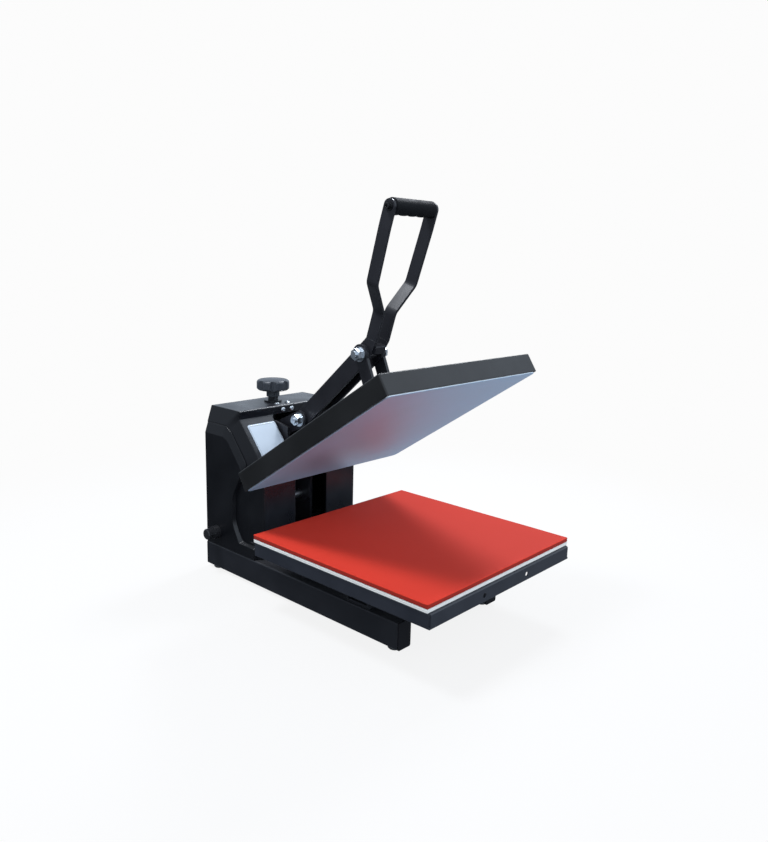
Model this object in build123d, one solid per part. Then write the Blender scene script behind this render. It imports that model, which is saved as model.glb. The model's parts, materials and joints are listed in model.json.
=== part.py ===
"""Clamshell flat heat press: a hinged heated platen that a toggle lever closes onto a padded lower platen.

Sizes are in millimetres. While the pieces are drawn, y = 0 is the middle of the pad, -y is the
operator's side, and z = 0 is the bench. The upper platen is drawn closed and then swung open.
The last step puts the origin on the bench under the middle of the press's depth.
"""

from build123d import *
from math import atan2, cos, degrees, hypot, pi, radians, sin, sqrt, tan
import os

# Platens
platen_width = 380.0
platen_depth = 380.0
pad_thickness = 7.5
underlay_thickness = 6.5
pad_corner_radius = 3.0
tray_side_inset = 2.0
tray_front_overhang = 3.0
tray_height = 23.2
tray_sheet = 2.0
tray_bend_radius = 3.0
tray_hole_radius = 4.0
tray_hole_spacing = 116.0
tray_hole_drop = 13.0
tray_corner_slit = 2.4
tray_slit_foot = 3.0
platen_rise = 47.5

# Base
foot_height = 6.0
foot_radius = 11.0
foot_inset = 20.0
rail_width = 29.0
rail_height = 46.0
rail_wall = 2.0
rail_corner_radius = 3.0
rail_front_y = -89.0
cap_flange = 2.5
cap_plug = 12.0
cap_clearance = 0.1
base_half_width = 131.0
beam_width = 47.0
beam_height = 28.0
beam_sheet = 3.0
beam_spacer_height = 5.0
support_radius = 11.0
support_bolt_radius = 5.0
support_head_radius = 8.5
support_head_height = 6.0
support_spacing_x = 140.0
support_spacing_y = 26.0
base_plate_thickness = 4.0

# Housing
housing_rear_y = 408.0
housing_front_y = 254.0
housing_rise = 265.5
housing_sheet = 2.0
lip_set_back = 69.3
lip_height = 15.5
slope_drop = 79.0
slope_radius = 100.0
cover_bend = 3.0
shell_seat = 2.0
shell_depth = 9.5
panel_depth = 6.8
shell_wall = 4.0
side_step = 0.2
seam_drop = 28.5
seam_shoulder = 27.0
seam_neck = 11.0
seam_neck_drop = 8.0
seam_front_inset = 30.0
seam_foot_inset = 5.0
seam_foot_height = 27.0
panel_gap = 1.0
panel_bevel = 20.0
panel_neck_radius = 20.0
panel_knee_radius = 22.0
panel_front_inset = 33.0
panel_front_bevel = 10.0
panel_waist = 69.0
panel_waist_fall = 63.0
panel_waist_rise = 53.0
panel_waist_radius = 50.0
panel_heel = 49.0
panel_foot_inset = 7.0
panel_foot_height = 24.5
panel_foot_bevel = 3.5
hollow_drop = 40.0
hollow_inset = 38.0
vent_width = 44.0
vent_height = 5.0
vent_rows = 5
vent_pitch = 14.0
vent_spacing = 64.0
vent_drop = 60.0
rear_screw_radius = 4.0
rear_screw_inset = 8.0
slot_half_width = 40.0
slot_foot_height = 48.0
slot_corner_radius = 8.0
screw_head_radius = 4.8
screw_head_height = 2.4
screw_socket_radius = 1.6
top_screw_spacing = 25.6
top_screw_setback = 16.0
lip_screw_spacing = 21.6

# Frame inside the housing
frame_gap = 62.0
frame_plate_thickness = 5.0
frame_front_set_back = 36.0
frame_rear_set_back = 16.0
running_clearance = 0.05
overshoot = 1.0
side_clearance = 0.5

# Hinge of the upper platen
hinge_y = 314.5
axle_radius = 8.0
axle_nut_wall = 6.0
open_angle = 33.25
press_gap = 0.3

# Upper platen
cover_height = 33.9
cover_sheet = 1.5
cover_bend_radius = 2.5
plate_inset = 2.0
plate_proud = 2.0
plate_thickness = 12.0
plate_corner_radius = 8.0
element_size = 8.0
element_runs = 6
element_side_margin = 34.0
element_end_margin = 40.0
blanket_margin = 8.0
bracket_thickness = 6.0
bracket_foot_width = 24.0
bracket_foot_thickness = 4.0
bracket_foot_end = 14.0
bracket_bolt_radius = 4.0
bracket_head_radius = 7.0
bracket_head_height = 5.0
bracket_hub_wall = 11.0
bracket_toe_length = 6.0
bracket_toe_rise = 9.0
bracket_back_rise = 13.0
bracket_back_reach = 60.0
bracket_neck_drop = 58.0
bracket_throat_reach = 62.0
bracket_throat_rise = 2.0
bracket_throat_radius = 26.0
stand_off_radius = 7.0
ear_radius = 15.0

# Linkage, as it stands with the press open
lever_pivot_y = 262.7
lever_pivot_rise = 163.3
lever_length = 206.2
lever_angle = 41.8
link_length = 88.0
link_lean = 22.5
link_thickness = 6.0
link_head_radius = 17.0
link_foot_radius = 12.5
pivot_bolt_radius = 6.0
washer_radius = 13.0
washer_thickness = 2.5
nut_radius = 10.5
nut_height = 10.0
bolt_tip = 4.0
lever_height = 32.0
lever_half_width = 17.0
lever_sheet = 5.0
sleeve_wall = 2.5
spacer_size = 16.0
spacer_setback = 16.2
spacer_offset = 3.5
spacer_corner = 3.0
lever_tip_reach = 18.0
lever_chin_reach = 26.0
lever_throat_reach = 6.0
lever_web_margin = 10.0
lever_web_end = 20.0
bar_root_reach = 31.0
bar_root_offset = 6.5

# Handle
bar_width = 23.0
bar_thickness = 5.0
bar_angle = 72.8
bar_length = 223.0
bar_spread = 51.0
bar_spread_low = 47.5
bar_splay_end = 190.0
bar_bend_start = 50.0
bar_bend_end = 98.0
bar_bend_radius = 18.0
grip_radius = 13.5
grip_groove_depth = 3.0
grip_groove_radius = 13.0
grip_groove_count = 4
grip_end_chamfer = 1.5
grip_rod_radius = 5.0
grip_screw_radius = 5.0
grip_screw_height = 5.0
grip_screw_socket = 3.0
grip_washer_radius = 7.5
grip_washer_thickness = 1.5

# Pressure adjustment
knob_radius = 31.5
knob_height = 21.5
knob_rim_height = 14.4
knob_rim_chamfer = 3.0
knob_shoulder_radius = 24.0
knob_shoulder_drop = 2.3
knob_scallops = 7
knob_scallop_radius = 8.5
knob_scallop_depth = 3.6
knob_hub_radius = 12.7
knob_hub_height = 13.0
knob_bore_cover = 8.0
spindle_radius = 6.0
spindle_y = 366.0
spindle_drop = 92.0
spindle_collar_height = 5.0
spindle_collar_width = 4.0
carriage_plate = 5.0
carriage_block_depth = 30.0
carriage_block_height = 32.0
carriage_lean = 25.8
carriage_yoke_step = 6.0
bridge_thickness = 9.5
bridge_tab_thickness = 6.0
plate_nose_reach = 26.0
plate_nose_drop = 18.0
plate_nose_height = 22.0
plate_notch_drop = 10.0
plate_window_half = 12.0
plate_window_low = 28.0
plate_window_high = 4.0
plate_window_corner = 6.0
boss_flange_radius = 17.0
boss_flange_height = 3.0
lock_nut_radius = 10.5
lock_nut_height = 7.0

# Balance springs
spring_radius = 10.0
spring_wire_radius = 1.75
spring_spacing = 26.0
spring_pin_radius = 4.0
tail_reach = 45.5
tail_rise = 13.0
spring_anchor_rise = 18.0

# Electrical pieces
bezel_width = 60.0
bezel_length = 54.0
bezel_thickness = 3.0
bezel_inward_shift = 1.25
bezel_offset_down = 34.0
bezel_corner = 4.0
window_margin = 8.0
window_thickness = 1.5
button_margin = 12.0
button_height = 3.0
button_lift = 0.2
controller_depth = 24.0
controller_wall = 3.0
window_width = 44.0
window_length = 20.0
button_radius = 4.5
button_count = 4
button_pitch = 12.5
button_travel = 0.8
button_clearance = 0.2
button_chamfer = 0.6
fuse_radius = 12.5
fuse_cap_radius = 10.5
fuse_length = 26.0
fuse_collar_share = 0.45
fuse_cap_sides = 12
fuse_setback = 34.0
fuse_rise = 27.0
fuse_cap_chamfer = 1.5
inlet_width = 28.0
inlet_height = 20.0
inlet_x = 62.0
inlet_ear_width = 10.0
inlet_flange_margin = 2.0
inlet_flange_thickness = 2.5
inlet_flange_corner = 4.0
inlet_wall = 2.5
inlet_depth = 24.0
inlet_well_depth = 16.0
inlet_pin_spacing = 7.0
inlet_pin_width = 2.0
inlet_pin_height = 3.2
inlet_earth_rise = 2.5
inlet_line_drop = 1.5
inlet_pin_setback = 2.0
switch_width = 14.0
switch_height = 21.0
switch_x = 16.0
switch_flange_margin = 2.0
switch_flange_thickness = 2.0
switch_wall = 1.5
switch_depth = 22.0
switch_well_depth = 14.0
rocker_end_gap = 2.4
rocker_root_depth = 8.0
rocker_root_half = 4.0
rocker_off_lift = 1.6
rocker_waist_lift = 0.4
rocker_on_lift = 4.0
rocker_hub_radius = 4.2
rocker_pivot_depth = 4.0
rear_fitting_rise = 40.0
relay_width = 58.0
relay_depth = 45.0
relay_height = 26.0
relay_setback = 10.0
relay_fins = 6
relay_fin_margin = 7.0
relay_groove_width = 4.0
relay_groove_depth = 12.0

# Heights and places that follow from the sizes above
panel_face = base_half_width - side_step
cover_half_width = panel_face - panel_depth - shell_depth
bezel_offset_x = (slot_half_width + cover_half_width) / 2 - bezel_inward_shift
rail_top = foot_height + rail_height
beam_bottom = rail_top + beam_spacer_height
beam_top = beam_bottom + beam_height
tray_bottom = rail_top + platen_rise
tray_top = tray_bottom + tray_height
underlay_top = tray_top + underlay_thickness
pad_top = underlay_top + pad_thickness
hinge_z = pad_top + press_gap
cover_bottom = hinge_z + plate_proud
cover_top = cover_bottom + cover_height
housing_top = rail_top + housing_rise
lip_y = housing_front_y + lip_set_back
lip_bottom = housing_top - lip_height
slope_foot = lip_bottom - slope_drop
lever_pivot_z = hinge_z + lever_pivot_rise
frame_inner = frame_gap / 2
frame_outer = frame_inner + frame_plate_thickness
bracket_inner = frame_inner - 1.0 - bracket_thickness
bracket_outer = bracket_inner + bracket_thickness
link_inner = lever_half_width + side_clearance
link_outer = link_inner + link_thickness
lug_inner = lever_half_width + side_clearance
lug_outer = lug_inner + carriage_plate
frame_front_y = housing_front_y + frame_front_set_back
frame_rear_y = housing_rear_y - frame_rear_set_back
bridge_front_y = lip_y + housing_sheet + 1.0
base_plate_top = rail_top + base_plate_thickness


def outline(corners):
    """Closed face in the side plane from (y, z, corner radius) triples."""
    points = [(y, z) for y, z, _ in corners]
    radii = [radius for _, _, radius in corners]
    return Plane.YZ * make_face(FilletPolyline(*points, radius=radii, close=True))


def side_slab(corners, x_from, x_to):
    """Plate of the given side outline between two x positions."""
    face = Pos(x_from, 0, 0) * outline(corners)
    return extrude(face, amount=x_to - x_from, dir=(1, 0, 0))


def block(x_from, x_to, y_from, y_to, z_from, z_to):
    """Box between two corners."""
    centre = Pos((x_from + x_to) / 2, (y_from + y_to) / 2, (z_from + z_to) / 2)
    return centre * Box(abs(x_to - x_from), abs(y_to - y_from), abs(z_to - z_from))


def rod_x(x_from, x_to, y, z, radius):
    """Round bar along x."""
    return Pos((x_from + x_to) / 2, y, z) * Rot(0, 90, 0) * Cylinder(radius, abs(x_to - x_from))


def rod_y(y_from, y_to, x, z, radius):
    """Round bar along y."""
    return Pos(x, (y_from + y_to) / 2, z) * Rot(90, 0, 0) * Cylinder(radius, abs(y_to - y_from))


def rod_z(z_from, z_to, x, y, radius):
    """Round bar upright."""
    return Pos(x, y, (z_from + z_to) / 2) * Cylinder(radius, abs(z_to - z_from))


def hex_x(x_from, x_to, y, z, radius):
    """Hexagon nut or bolt head with its axis along x."""
    face = Plane(origin=(min(x_from, x_to), y, z), z_dir=(1, 0, 0)) * RegularPolygon(radius, 6)
    return extrude(face, amount=abs(x_to - x_from))


def mirrored(shape):
    """The same piece on the other side of the press."""
    return mirror(shape, about=Plane.YZ)


def group(shapes):
    """Several separate solids kept together."""
    return Compound(children=[solid for shape in shapes for solid in shape.solids()])


def both_sides(shape):
    """A piece and its mirror image as one group."""
    return group([shape, mirrored(shape)])


def open_up(shape):
    """Swing a piece that was drawn with the press closed to its open place."""
    return shape.rotate(Axis((0, hinge_y, hinge_z), (1, 0, 0)), -open_angle)


def turned(y, z, angle):
    """A point turned about the platen hinge by an angle in degrees."""
    dy, dz = y - hinge_y, z - hinge_z
    c, s = cos(radians(angle)), sin(radians(angle))
    return hinge_y + dy * c - dz * s, hinge_z + dy * s + dz * c


# Pivots of the linkage with the press open, and the platen's pivot with it closed
elbow_y = lever_pivot_y - lever_length * cos(radians(lever_angle))
elbow_z = lever_pivot_z + lever_length * sin(radians(lever_angle))
link_foot_y = elbow_y - link_length * sin(radians(link_lean))
link_foot_z = elbow_z - link_length * cos(radians(link_lean))
ear_y, ear_z = turned(link_foot_y, link_foot_z, open_angle)
rail_rear_y = housing_rear_y


# Base: two square-ended tube rails, a cross beam under the lower platen and a floor plate
def base_rail():
    tube_from = rail_front_y + cap_flange
    tube_to = rail_rear_y - cap_flange
    centre_x = base_half_width - rail_width / 2
    centre_z = foot_height + rail_height / 2
    section = Plane.XZ * RectangleRounded(rail_width, rail_height, rail_corner_radius)
    bore = Plane.XZ * Rectangle(rail_width - 2 * rail_wall, rail_height - 2 * rail_wall)
    tube = extrude(section, amount=tube_to - tube_from, dir=(0, 1, 0))
    tube -= extrude(bore, amount=tube_to - tube_from, dir=(0, 1, 0))
    return Pos(-centre_x, tube_from, centre_z) * tube


def rail_end_caps():
    centre_x = base_half_width - rail_width / 2
    centre_z = foot_height + rail_height / 2
    face = Plane.XZ * RectangleRounded(rail_width, rail_height, rail_corner_radius)
    flange = extrude(face, amount=cap_flange, dir=(0, 1, 0))
    plug_width = rail_width - 2 * (rail_wall + cap_clearance)
    plug_height = rail_height - 2 * (rail_wall + cap_clearance)
    plug = block(-plug_width / 2, plug_width / 2, 0, cap_plug, -plug_height / 2, plug_height / 2)
    front = Pos(-centre_x, rail_front_y, centre_z) * (flange + Pos(0, cap_flange, 0) * plug)
    rear_plug = Pos(0, -cap_plug, 0) * plug
    rear = Pos(-centre_x, rail_rear_y - cap_flange, centre_z) * (flange + rear_plug)
    return group([front, rear, mirrored(front), mirrored(rear)])


def rubber_feet():
    profile = Polyline((0, 0), (foot_radius - 2, 0), (foot_radius, 2), (foot_radius - 1, foot_height),
                       (0, foot_height), close=True)
    foot = revolve(Plane.XZ * make_face(profile), axis=Axis.Z)
    foot -= rod_z(0, foot_height / 2, 0, 0, foot_radius / 3)
    centre_x = base_half_width - rail_width / 2
    places = (rail_front_y + foot_inset, rail_rear_y - foot_inset)
    return group([Pos(x, y, 0) * foot for x in (-centre_x, centre_x) for y in places])


def base_plate():
    edge = cover_half_width - shell_seat - side_clearance
    return block(-edge, edge, housing_front_y + 8, housing_rear_y - 8, rail_top, base_plate_top)


def cross_beam():
    half = beam_width / 2
    outer = block(-base_half_width, base_half_width, -half, half, beam_bottom, beam_top)
    inner = block(-base_half_width, base_half_width, -half + beam_sheet, half - beam_sheet,
                  beam_bottom, beam_top - beam_sheet)
    beam = outer - inner
    edges = beam.edges().filter_by(Axis.X).group_by(Axis.Z)[-1]
    beam = fillet(edges, beam_sheet)
    for x, y in support_places():
        beam -= rod_z(beam_bottom, beam_top, x, y, support_bolt_radius + running_clearance)
    spacer_from = base_half_width - rail_width + rail_corner_radius
    spacer_to = base_half_width - rail_corner_radius
    spacer = block(spacer_from, spacer_to, -half, half, rail_top, beam_bottom)
    return beam, both_sides(spacer)


def support_places():
    return [(x, y) for x in (-support_spacing_x / 2, support_spacing_x / 2)
            for y in (-support_spacing_y / 2, support_spacing_y / 2)]


def support_posts():
    under_tray = tray_top - tray_sheet
    posts = []
    for x, y in support_places():
        post = rod_z(beam_top, under_tray, x, y, support_radius)
        posts.append(post - rod_z(beam_top, under_tray, x, y, support_bolt_radius + running_clearance))
    return group(posts)


def support_bolts():
    seat = beam_top - beam_sheet
    bolts = []
    for x, y in support_places():
        head = extrude(RegularPolygon(support_head_radius, 6), amount=support_head_height)
        head = Pos(x, y, seat - support_head_height) * head
        bolts.append(head + rod_z(seat, tray_top - tray_sheet, x, y, support_bolt_radius))
    return group(bolts)


# Lower platen: a pressed steel tray with an underlay and a silicone pad laid on it
def lower_platen_tray():
    half = platen_width / 2 - tray_side_inset
    front = -platen_depth / 2 - tray_front_overhang
    rear = platen_depth / 2 - tray_side_inset
    outer = block(-half, half, front, rear, tray_bottom, tray_top)
    top_edges = outer.edges().group_by(Axis.Z)[-1]
    outer = fillet(top_edges, tray_bend_radius)
    inner = block(-half + tray_sheet, half - tray_sheet, front + tray_sheet, rear - tray_sheet,
                  tray_bottom, tray_top - tray_sheet)
    tray = outer - inner
    hole_z = tray_top - tray_hole_drop
    for x in (-tray_hole_spacing / 2, tray_hole_spacing / 2):
        tray -= rod_y(front, front + 2 * tray_sheet, x, hole_z, tray_hole_radius)
    slit = block(-tray_corner_slit / 2, tray_corner_slit / 2, -2 * tray_bend_radius, tray_sheet / 2,
                 tray_bottom + tray_slit_foot, tray_top + tray_sheet)
    for side in (-1, 1):
        corner = Pos(side * (half - tray_sheet / 2), front + tray_sheet / 2, 0) * Rot(0, 0, side * 45)
        tray -= corner * slit
    return tray


def sheet_layer(z_from, z_to):
    layer = block(-platen_width / 2, platen_width / 2, -platen_depth / 2, platen_depth / 2, z_from, z_to)
    return fillet(layer.edges().filter_by(Axis.Z), pad_corner_radius)


# Housing
def cover_corners(inset, top_inset):
    """Side outline of the front, slope and top of the housing, drawn inwards by an inset."""
    shift = inset * tan(atan2(lip_set_back, slope_drop) / 2)
    bend = max(cover_bend - inset, 0.2)
    return [
        (housing_front_y + inset, rail_top, 0),
        (housing_front_y + inset, slope_foot - shift, slope_radius - inset),
        (lip_y + inset, lip_bottom - shift, bend),
        (lip_y + inset, housing_top - top_inset, bend),
        (housing_rear_y - housing_sheet, housing_top - top_inset, 0),
        (housing_rear_y - housing_sheet, rail_top, 0),
    ]


def housing_cover():
    half = cover_half_width - shell_seat
    outer = side_slab(cover_corners(0, 0), -half, half)
    hollow = side_slab(cover_corners(housing_sheet, housing_sheet), -half, half)
    behind = block(-half, half, housing_rear_y - housing_sheet, housing_rear_y, rail_top, housing_top)
    cover = outer - hollow - behind
    slot_from = rail_top + slot_foot_height
    slot_height = lip_bottom - slot_from
    slot = Plane.XZ * RectangleRounded(2 * slot_half_width, slot_height, slot_corner_radius)
    cutter = extrude(slot, amount=lip_set_back + 2 * housing_sheet, dir=(0, 1, 0))
    cover -= Pos(0, housing_front_y - 1, slot_from + slot_height / 2) * cutter
    cover -= bezel_plane() * block(*controller_box(side_clearance), -controller_depth, bezel_thickness)
    stem = spindle_radius + running_clearance
    cover -= rod_z(housing_top - 2 * housing_sheet, housing_top + 1, 0, spindle_y, stem)
    return cover


def side_shell():
    joint = cover_half_width - shell_seat
    foot_top = rail_top + seam_foot_height
    rim = [
        (housing_rear_y, rail_top, 0),
        (housing_rear_y, housing_top, 0),
        (lip_y, housing_top, cover_bend),
        (lip_y, lip_bottom, cover_bend),
        (housing_front_y, slope_foot, slope_radius),
        (housing_front_y, foot_top + shell_seat, 0),
        (housing_front_y, foot_top - shell_seat / 2, 0),
        (housing_front_y, rail_top, 0),
    ]
    seam_z = housing_top - seam_drop
    seam = [
        (housing_rear_y, rail_top, 0),
        (housing_rear_y, seam_z, 0),
        (lip_y + seam_shoulder, seam_z, panel_neck_radius),
        (lip_y + seam_neck, seam_z - seam_neck_drop, panel_neck_radius),
        (housing_front_y + seam_front_inset, slope_foot, panel_waist_radius),
        (housing_front_y + seam_front_inset, foot_top + shell_seat, 0),
        (housing_front_y + seam_foot_inset, foot_top, 0),
        (housing_front_y + seam_foot_inset, rail_top, 0),
    ]
    seat = side_slab(rim, joint, cover_half_width)
    lower = Pos(cover_half_width, 0, 0) * outline(rim)
    upper = Pos(cover_half_width + shell_depth, 0, 0) * outline(seam)
    shell = seat + loft([lower.face(), upper.face()], ruled=True)
    hollow = [
        (housing_rear_y - housing_sheet, rail_top, 0),
        (housing_rear_y - housing_sheet, housing_top - hollow_drop, 0),
        (lip_y + panel_neck_radius, housing_top - hollow_drop, 10),
        (housing_front_y + hollow_inset, slope_foot, 30),
        (housing_front_y + hollow_inset, rail_top, 0),
    ]
    shell -= side_slab(hollow, joint, cover_half_width + shell_depth - shell_wall)
    return shell


def panel_edge(bevel):
    """Outline of the raised side panel, from its seat (bevel 0) to its face (bevel 1)."""
    rear = housing_rear_y - panel_gap
    foot = rail_top + panel_gap / 2
    top = housing_top - seam_drop - panel_gap - bevel * panel_bevel
    neck_z = top - seam_neck_drop + 2 * bevel
    neck_radius = panel_neck_radius - 2 * bevel
    waist_y = housing_front_y + panel_waist + panel_foot_bevel * bevel
    waist_radius = panel_waist_radius - 2 * bevel
    heel_y = housing_front_y + panel_heel + 1.4 * panel_foot_bevel * bevel
    toe_y = housing_front_y + panel_foot_inset + 2 * bevel
    toe_z = rail_top + panel_foot_height - panel_foot_bevel * bevel
    return [
        (rear, foot, 0),
        (rear, top, 0),
        (lip_y + seam_shoulder + panel_gap + bevel, top, neck_radius),
        (lip_y + seam_neck + panel_gap + 3 * bevel, neck_z, neck_radius),
        (housing_front_y + panel_front_inset + panel_front_bevel * bevel,
         slope_foot - panel_gap - panel_front_bevel * bevel, panel_knee_radius - 2 * bevel),
        (waist_y, slope_foot - panel_waist_fall - 2 * bevel, waist_radius),
        (waist_y, rail_top + panel_waist_rise + bevel, waist_radius),
        (heel_y, toe_z, 5),
        (toe_y, toe_z, 4),
        (toe_y, foot, 0),
    ]


def side_panel():
    seat_x = cover_half_width + shell_depth
    lower = Pos(seat_x, 0, 0) * outline(panel_edge(0))
    upper = Pos(seat_x + panel_depth, 0, 0) * outline(panel_edge(1))
    return loft([lower.face(), upper.face()], ruled=True)


def rear_cover():
    half = cover_half_width - shell_seat
    front = housing_rear_y - housing_sheet
    plate = block(-half, half, front, housing_rear_y, rail_top, housing_top)
    fitting_z = rail_top + rear_fitting_rise
    plate -= block(inlet_x - inlet_width / 2, inlet_x + inlet_width / 2, front, housing_rear_y,
                   fitting_z - inlet_height / 2, fitting_z + inlet_height / 2)
    plate -= block(switch_x - switch_width / 2, switch_x + switch_width / 2, front, housing_rear_y,
                   fitting_z - switch_height / 2, fitting_z + switch_height / 2)
    for x in (-vent_spacing, 0, vent_spacing):
        for row in range(vent_rows):
            z = housing_top - vent_drop - vent_pitch * row
            plate -= block(x - vent_width / 2, x + vent_width / 2, front, housing_rear_y,
                           z - vent_height / 2, z + vent_height / 2)
    return plate


def rear_cover_screws():
    half = cover_half_width - shell_seat - rear_screw_inset
    low, high = rail_top + 1.5 * rear_screw_inset, housing_top - 1.5 * rear_screw_inset
    screws = []
    for x in (-half, half):
        for z in (low, (low + high) / 2, high):
            screws.append(rod_y(housing_rear_y, housing_rear_y + housing_sheet, x, z, rear_screw_radius))
    return group(screws)


# Frame: two upright plates that carry the hinge axle, the bridge and the carriage
def frame_plate():
    nose_y = housing_front_y + plate_nose_reach
    nose_z = lip_bottom - plate_nose_drop
    corners = [
        (frame_rear_y, base_plate_top, 0),
        (frame_rear_y, housing_top - housing_sheet, 0),
        (bridge_front_y, housing_top - housing_sheet, 0),
        (bridge_front_y, lip_bottom - plate_notch_drop, 0),
        (nose_y, nose_z, 3),
        (nose_y, nose_z - plate_nose_height, 6),
        (frame_front_y, slope_foot, 8),
        (frame_front_y, base_plate_top, 0),
    ]
    plate = side_slab(corners, frame_inner, frame_outer)
    fit = axle_radius + running_clearance
    plate -= rod_x(frame_inner, frame_outer, hinge_y, hinge_z, fit)
    middle_z = (hinge_z + housing_top) / 2
    front, rear = spindle_y - plate_window_half, spindle_y + plate_window_half
    low, high = middle_z - plate_window_low, middle_z - plate_window_high
    corners = ((front, low), (rear, low), (rear, high), (front, high))
    window = [(y, z, plate_window_corner) for y, z in corners]
    return plate - side_slab(window, frame_inner, frame_outer)


def hinge_axle():
    nut = hex_x(frame_outer, frame_outer + nut_height, hinge_y, hinge_z, axle_radius + axle_nut_wall)
    nut -= rod_x(frame_outer, frame_outer + nut_height, hinge_y, hinge_z, axle_radius)
    tip = frame_outer + nut_height + bolt_tip
    return rod_x(-tip, tip, hinge_y, hinge_z, axle_radius), both_sides(nut)


def thrust_bridge():
    top = housing_top - housing_sheet
    front = bridge_front_y
    plate = block(-frame_inner, frame_inner, front, frame_rear_y, top - bridge_thickness, top)
    tab = block(-frame_inner, frame_inner, front, front + bridge_tab_thickness, lip_bottom, top)
    bore = rod_z(top - bridge_thickness, top, 0, spindle_y, spindle_radius + running_clearance)
    return plate + tab - bore


def knob_boss():
    flange_top = housing_top + boss_flange_height
    flange = rod_z(housing_top, flange_top, 0, spindle_y, boss_flange_radius)
    nut_top = flange_top + lock_nut_height
    nut = extrude(RegularPolygon(lock_nut_radius, 6), amount=lock_nut_height)
    bore = rod_z(housing_top, nut_top, 0, spindle_y, spindle_radius + running_clearance)
    return flange + Pos(0, spindle_y, flange_top) * nut - bore


def cover_screws():
    head = rod_z(0, screw_head_height, 0, 0, screw_head_radius)
    head = chamfer(head.edges().group_by(Axis.Z)[-1], 0.6 * screw_head_height, 0.8 * screw_head_height)
    socket = extrude(RegularPolygon(screw_socket_radius, 6), amount=screw_head_height)
    head -= Pos(0, 0, 0.4 * screw_head_height) * socket
    top_x, lip_x = top_screw_spacing / 2, lip_screw_spacing / 2
    lip_z = lip_bottom + lip_height * 0.4
    on_top = [Pos(x, lip_y + top_screw_setback, housing_top) * head for x in (-top_x, top_x)]
    on_lip = [Pos(x, lip_y, lip_z) * Rot(90, 0, 0) * head for x in (-lip_x, lip_x)]
    return group(on_top + on_lip)


# Pressure adjustment: knob and spindle, and the carriage that the spindle raises and lowers
def pressure_spindle():
    bottom = housing_top - spindle_drop
    top = knob_bottom() + knob_hub_height + knob_height - knob_bore_cover
    collar_top = housing_top - housing_sheet - bridge_thickness - press_gap
    collar_bottom = collar_top - spindle_collar_height
    collar = rod_z(collar_bottom, collar_top, 0, spindle_y, spindle_radius + spindle_collar_width)
    return rod_z(bottom, top, 0, spindle_y, spindle_radius) + collar


def knob_bottom():
    return housing_top + boss_flange_height + lock_nut_height + press_gap


def pressure_knob():
    """Turned head with a crowned top, scalloped for the fingers, on a plain hub."""
    shoulder_z = knob_height - knob_shoulder_drop
    flank = Line((knob_radius - knob_rim_chamfer, 0), (knob_radius, knob_rim_chamfer))
    rim = Line(flank @ 1, (knob_radius, knob_rim_height))
    shoulder = TangentArc(rim @ 1, (knob_shoulder_radius, shoulder_z), tangent=(0, 1))
    crown = TangentArc((0, knob_height), (knob_shoulder_radius, shoulder_z), tangent=(1, 0))
    close = Polyline((0, knob_height), (0, 0), (knob_radius - knob_rim_chamfer, 0))
    head = revolve(Plane.XZ * make_face(flank + rim + shoulder + crown + close), axis=Axis.Z)
    reach = knob_radius + knob_scallop_radius - knob_scallop_depth
    for scallop in range(knob_scallops):
        angle = radians(360 / knob_scallops * (scallop + 0.5))
        x, y = reach * cos(angle), reach * sin(angle)
        cutter = rod_z(-overshoot, knob_height + overshoot, x, y, knob_scallop_radius)
        head -= cutter
    hub = rod_z(0, knob_hub_height, 0, 0, knob_hub_radius)
    knob = hub + Pos(0, 0, knob_hub_height) * head
    knob -= rod_z(0, knob_hub_height + knob_height - knob_bore_cover, 0, 0, spindle_radius)
    return Pos(0, spindle_y, knob_bottom()) * knob


def pressure_carriage():
    lean = radians(carriage_lean)
    half = lever_height / 2
    drop = (spindle_y - lever_pivot_y) * tan(lean)
    block_z = lever_pivot_z - drop
    rear_y = spindle_y + carriage_block_depth / 2
    front_y = spindle_y - carriage_block_depth / 2
    low = block_z - carriage_block_height / 2
    high = block_z + carriage_block_height / 2
    ux, uz = cos(lean), -sin(lean)
    arm_z = lever_pivot_z - (front_y - lever_pivot_y) * tan(lean)
    lug = [
        (lever_pivot_y - half * ux + half * uz, lever_pivot_z - half * uz - half * ux, half * 0.98),
        (front_y, arm_z - half / cos(lean), 4),
        (rear_y, low, 3),
        (rear_y, high, 3),
        (front_y, arm_z + half / cos(lean), 4),
        (lever_pivot_y - half * ux - half * uz, lever_pivot_z - half * uz + half * ux, half * 0.98),
    ]
    plate = side_slab(lug, lug_inner, lug_outer)
    plate -= rod_x(lug_inner, lug_outer, lever_pivot_y, lever_pivot_z, pivot_bolt_radius)
    shoe = frame_inner - press_gap
    yoke = block(-shoe, shoe, front_y, rear_y, low + carriage_yoke_step, high - carriage_yoke_step)
    yoke -= rod_z(low, high, 0, spindle_y, spindle_radius + running_clearance)
    return plate + mirrored(plate) + yoke


def pivot_fixings(seat, y, z):
    """Washer, nut and bolt end outside a plate, on both sides."""
    washer = rod_x(seat, seat + washer_thickness, y, z, washer_radius)
    nut_from = seat + washer_thickness
    nut = hex_x(nut_from, nut_from + nut_height, y, z, nut_radius)
    tip = rod_x(nut_from + nut_height, nut_from + nut_height + bolt_tip, y, z, pivot_bolt_radius)
    return washer + nut + tip


def lever_pivot_bolt():
    ends = pivot_fixings(lug_outer, lever_pivot_y, lever_pivot_z)
    shank = rod_x(-lug_outer, lug_outer, lever_pivot_y, lever_pivot_z, pivot_bolt_radius)
    return shank + ends + mirrored(ends)


# Lever: a folded channel from the rear pivot to the elbow, with the handle welded to its end
def lever_point(along, out):
    """A point measured along the lever from its rear pivot, and out from its centre line."""
    c, s = cos(radians(lever_angle)), sin(radians(lever_angle))
    return lever_pivot_y - along * c + out * s, lever_pivot_z + along * s + out * c


def bar_root():
    """Middle of the handle bars' lower ends."""
    return lever_point(lever_length + bar_root_reach, bar_root_offset)


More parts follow.
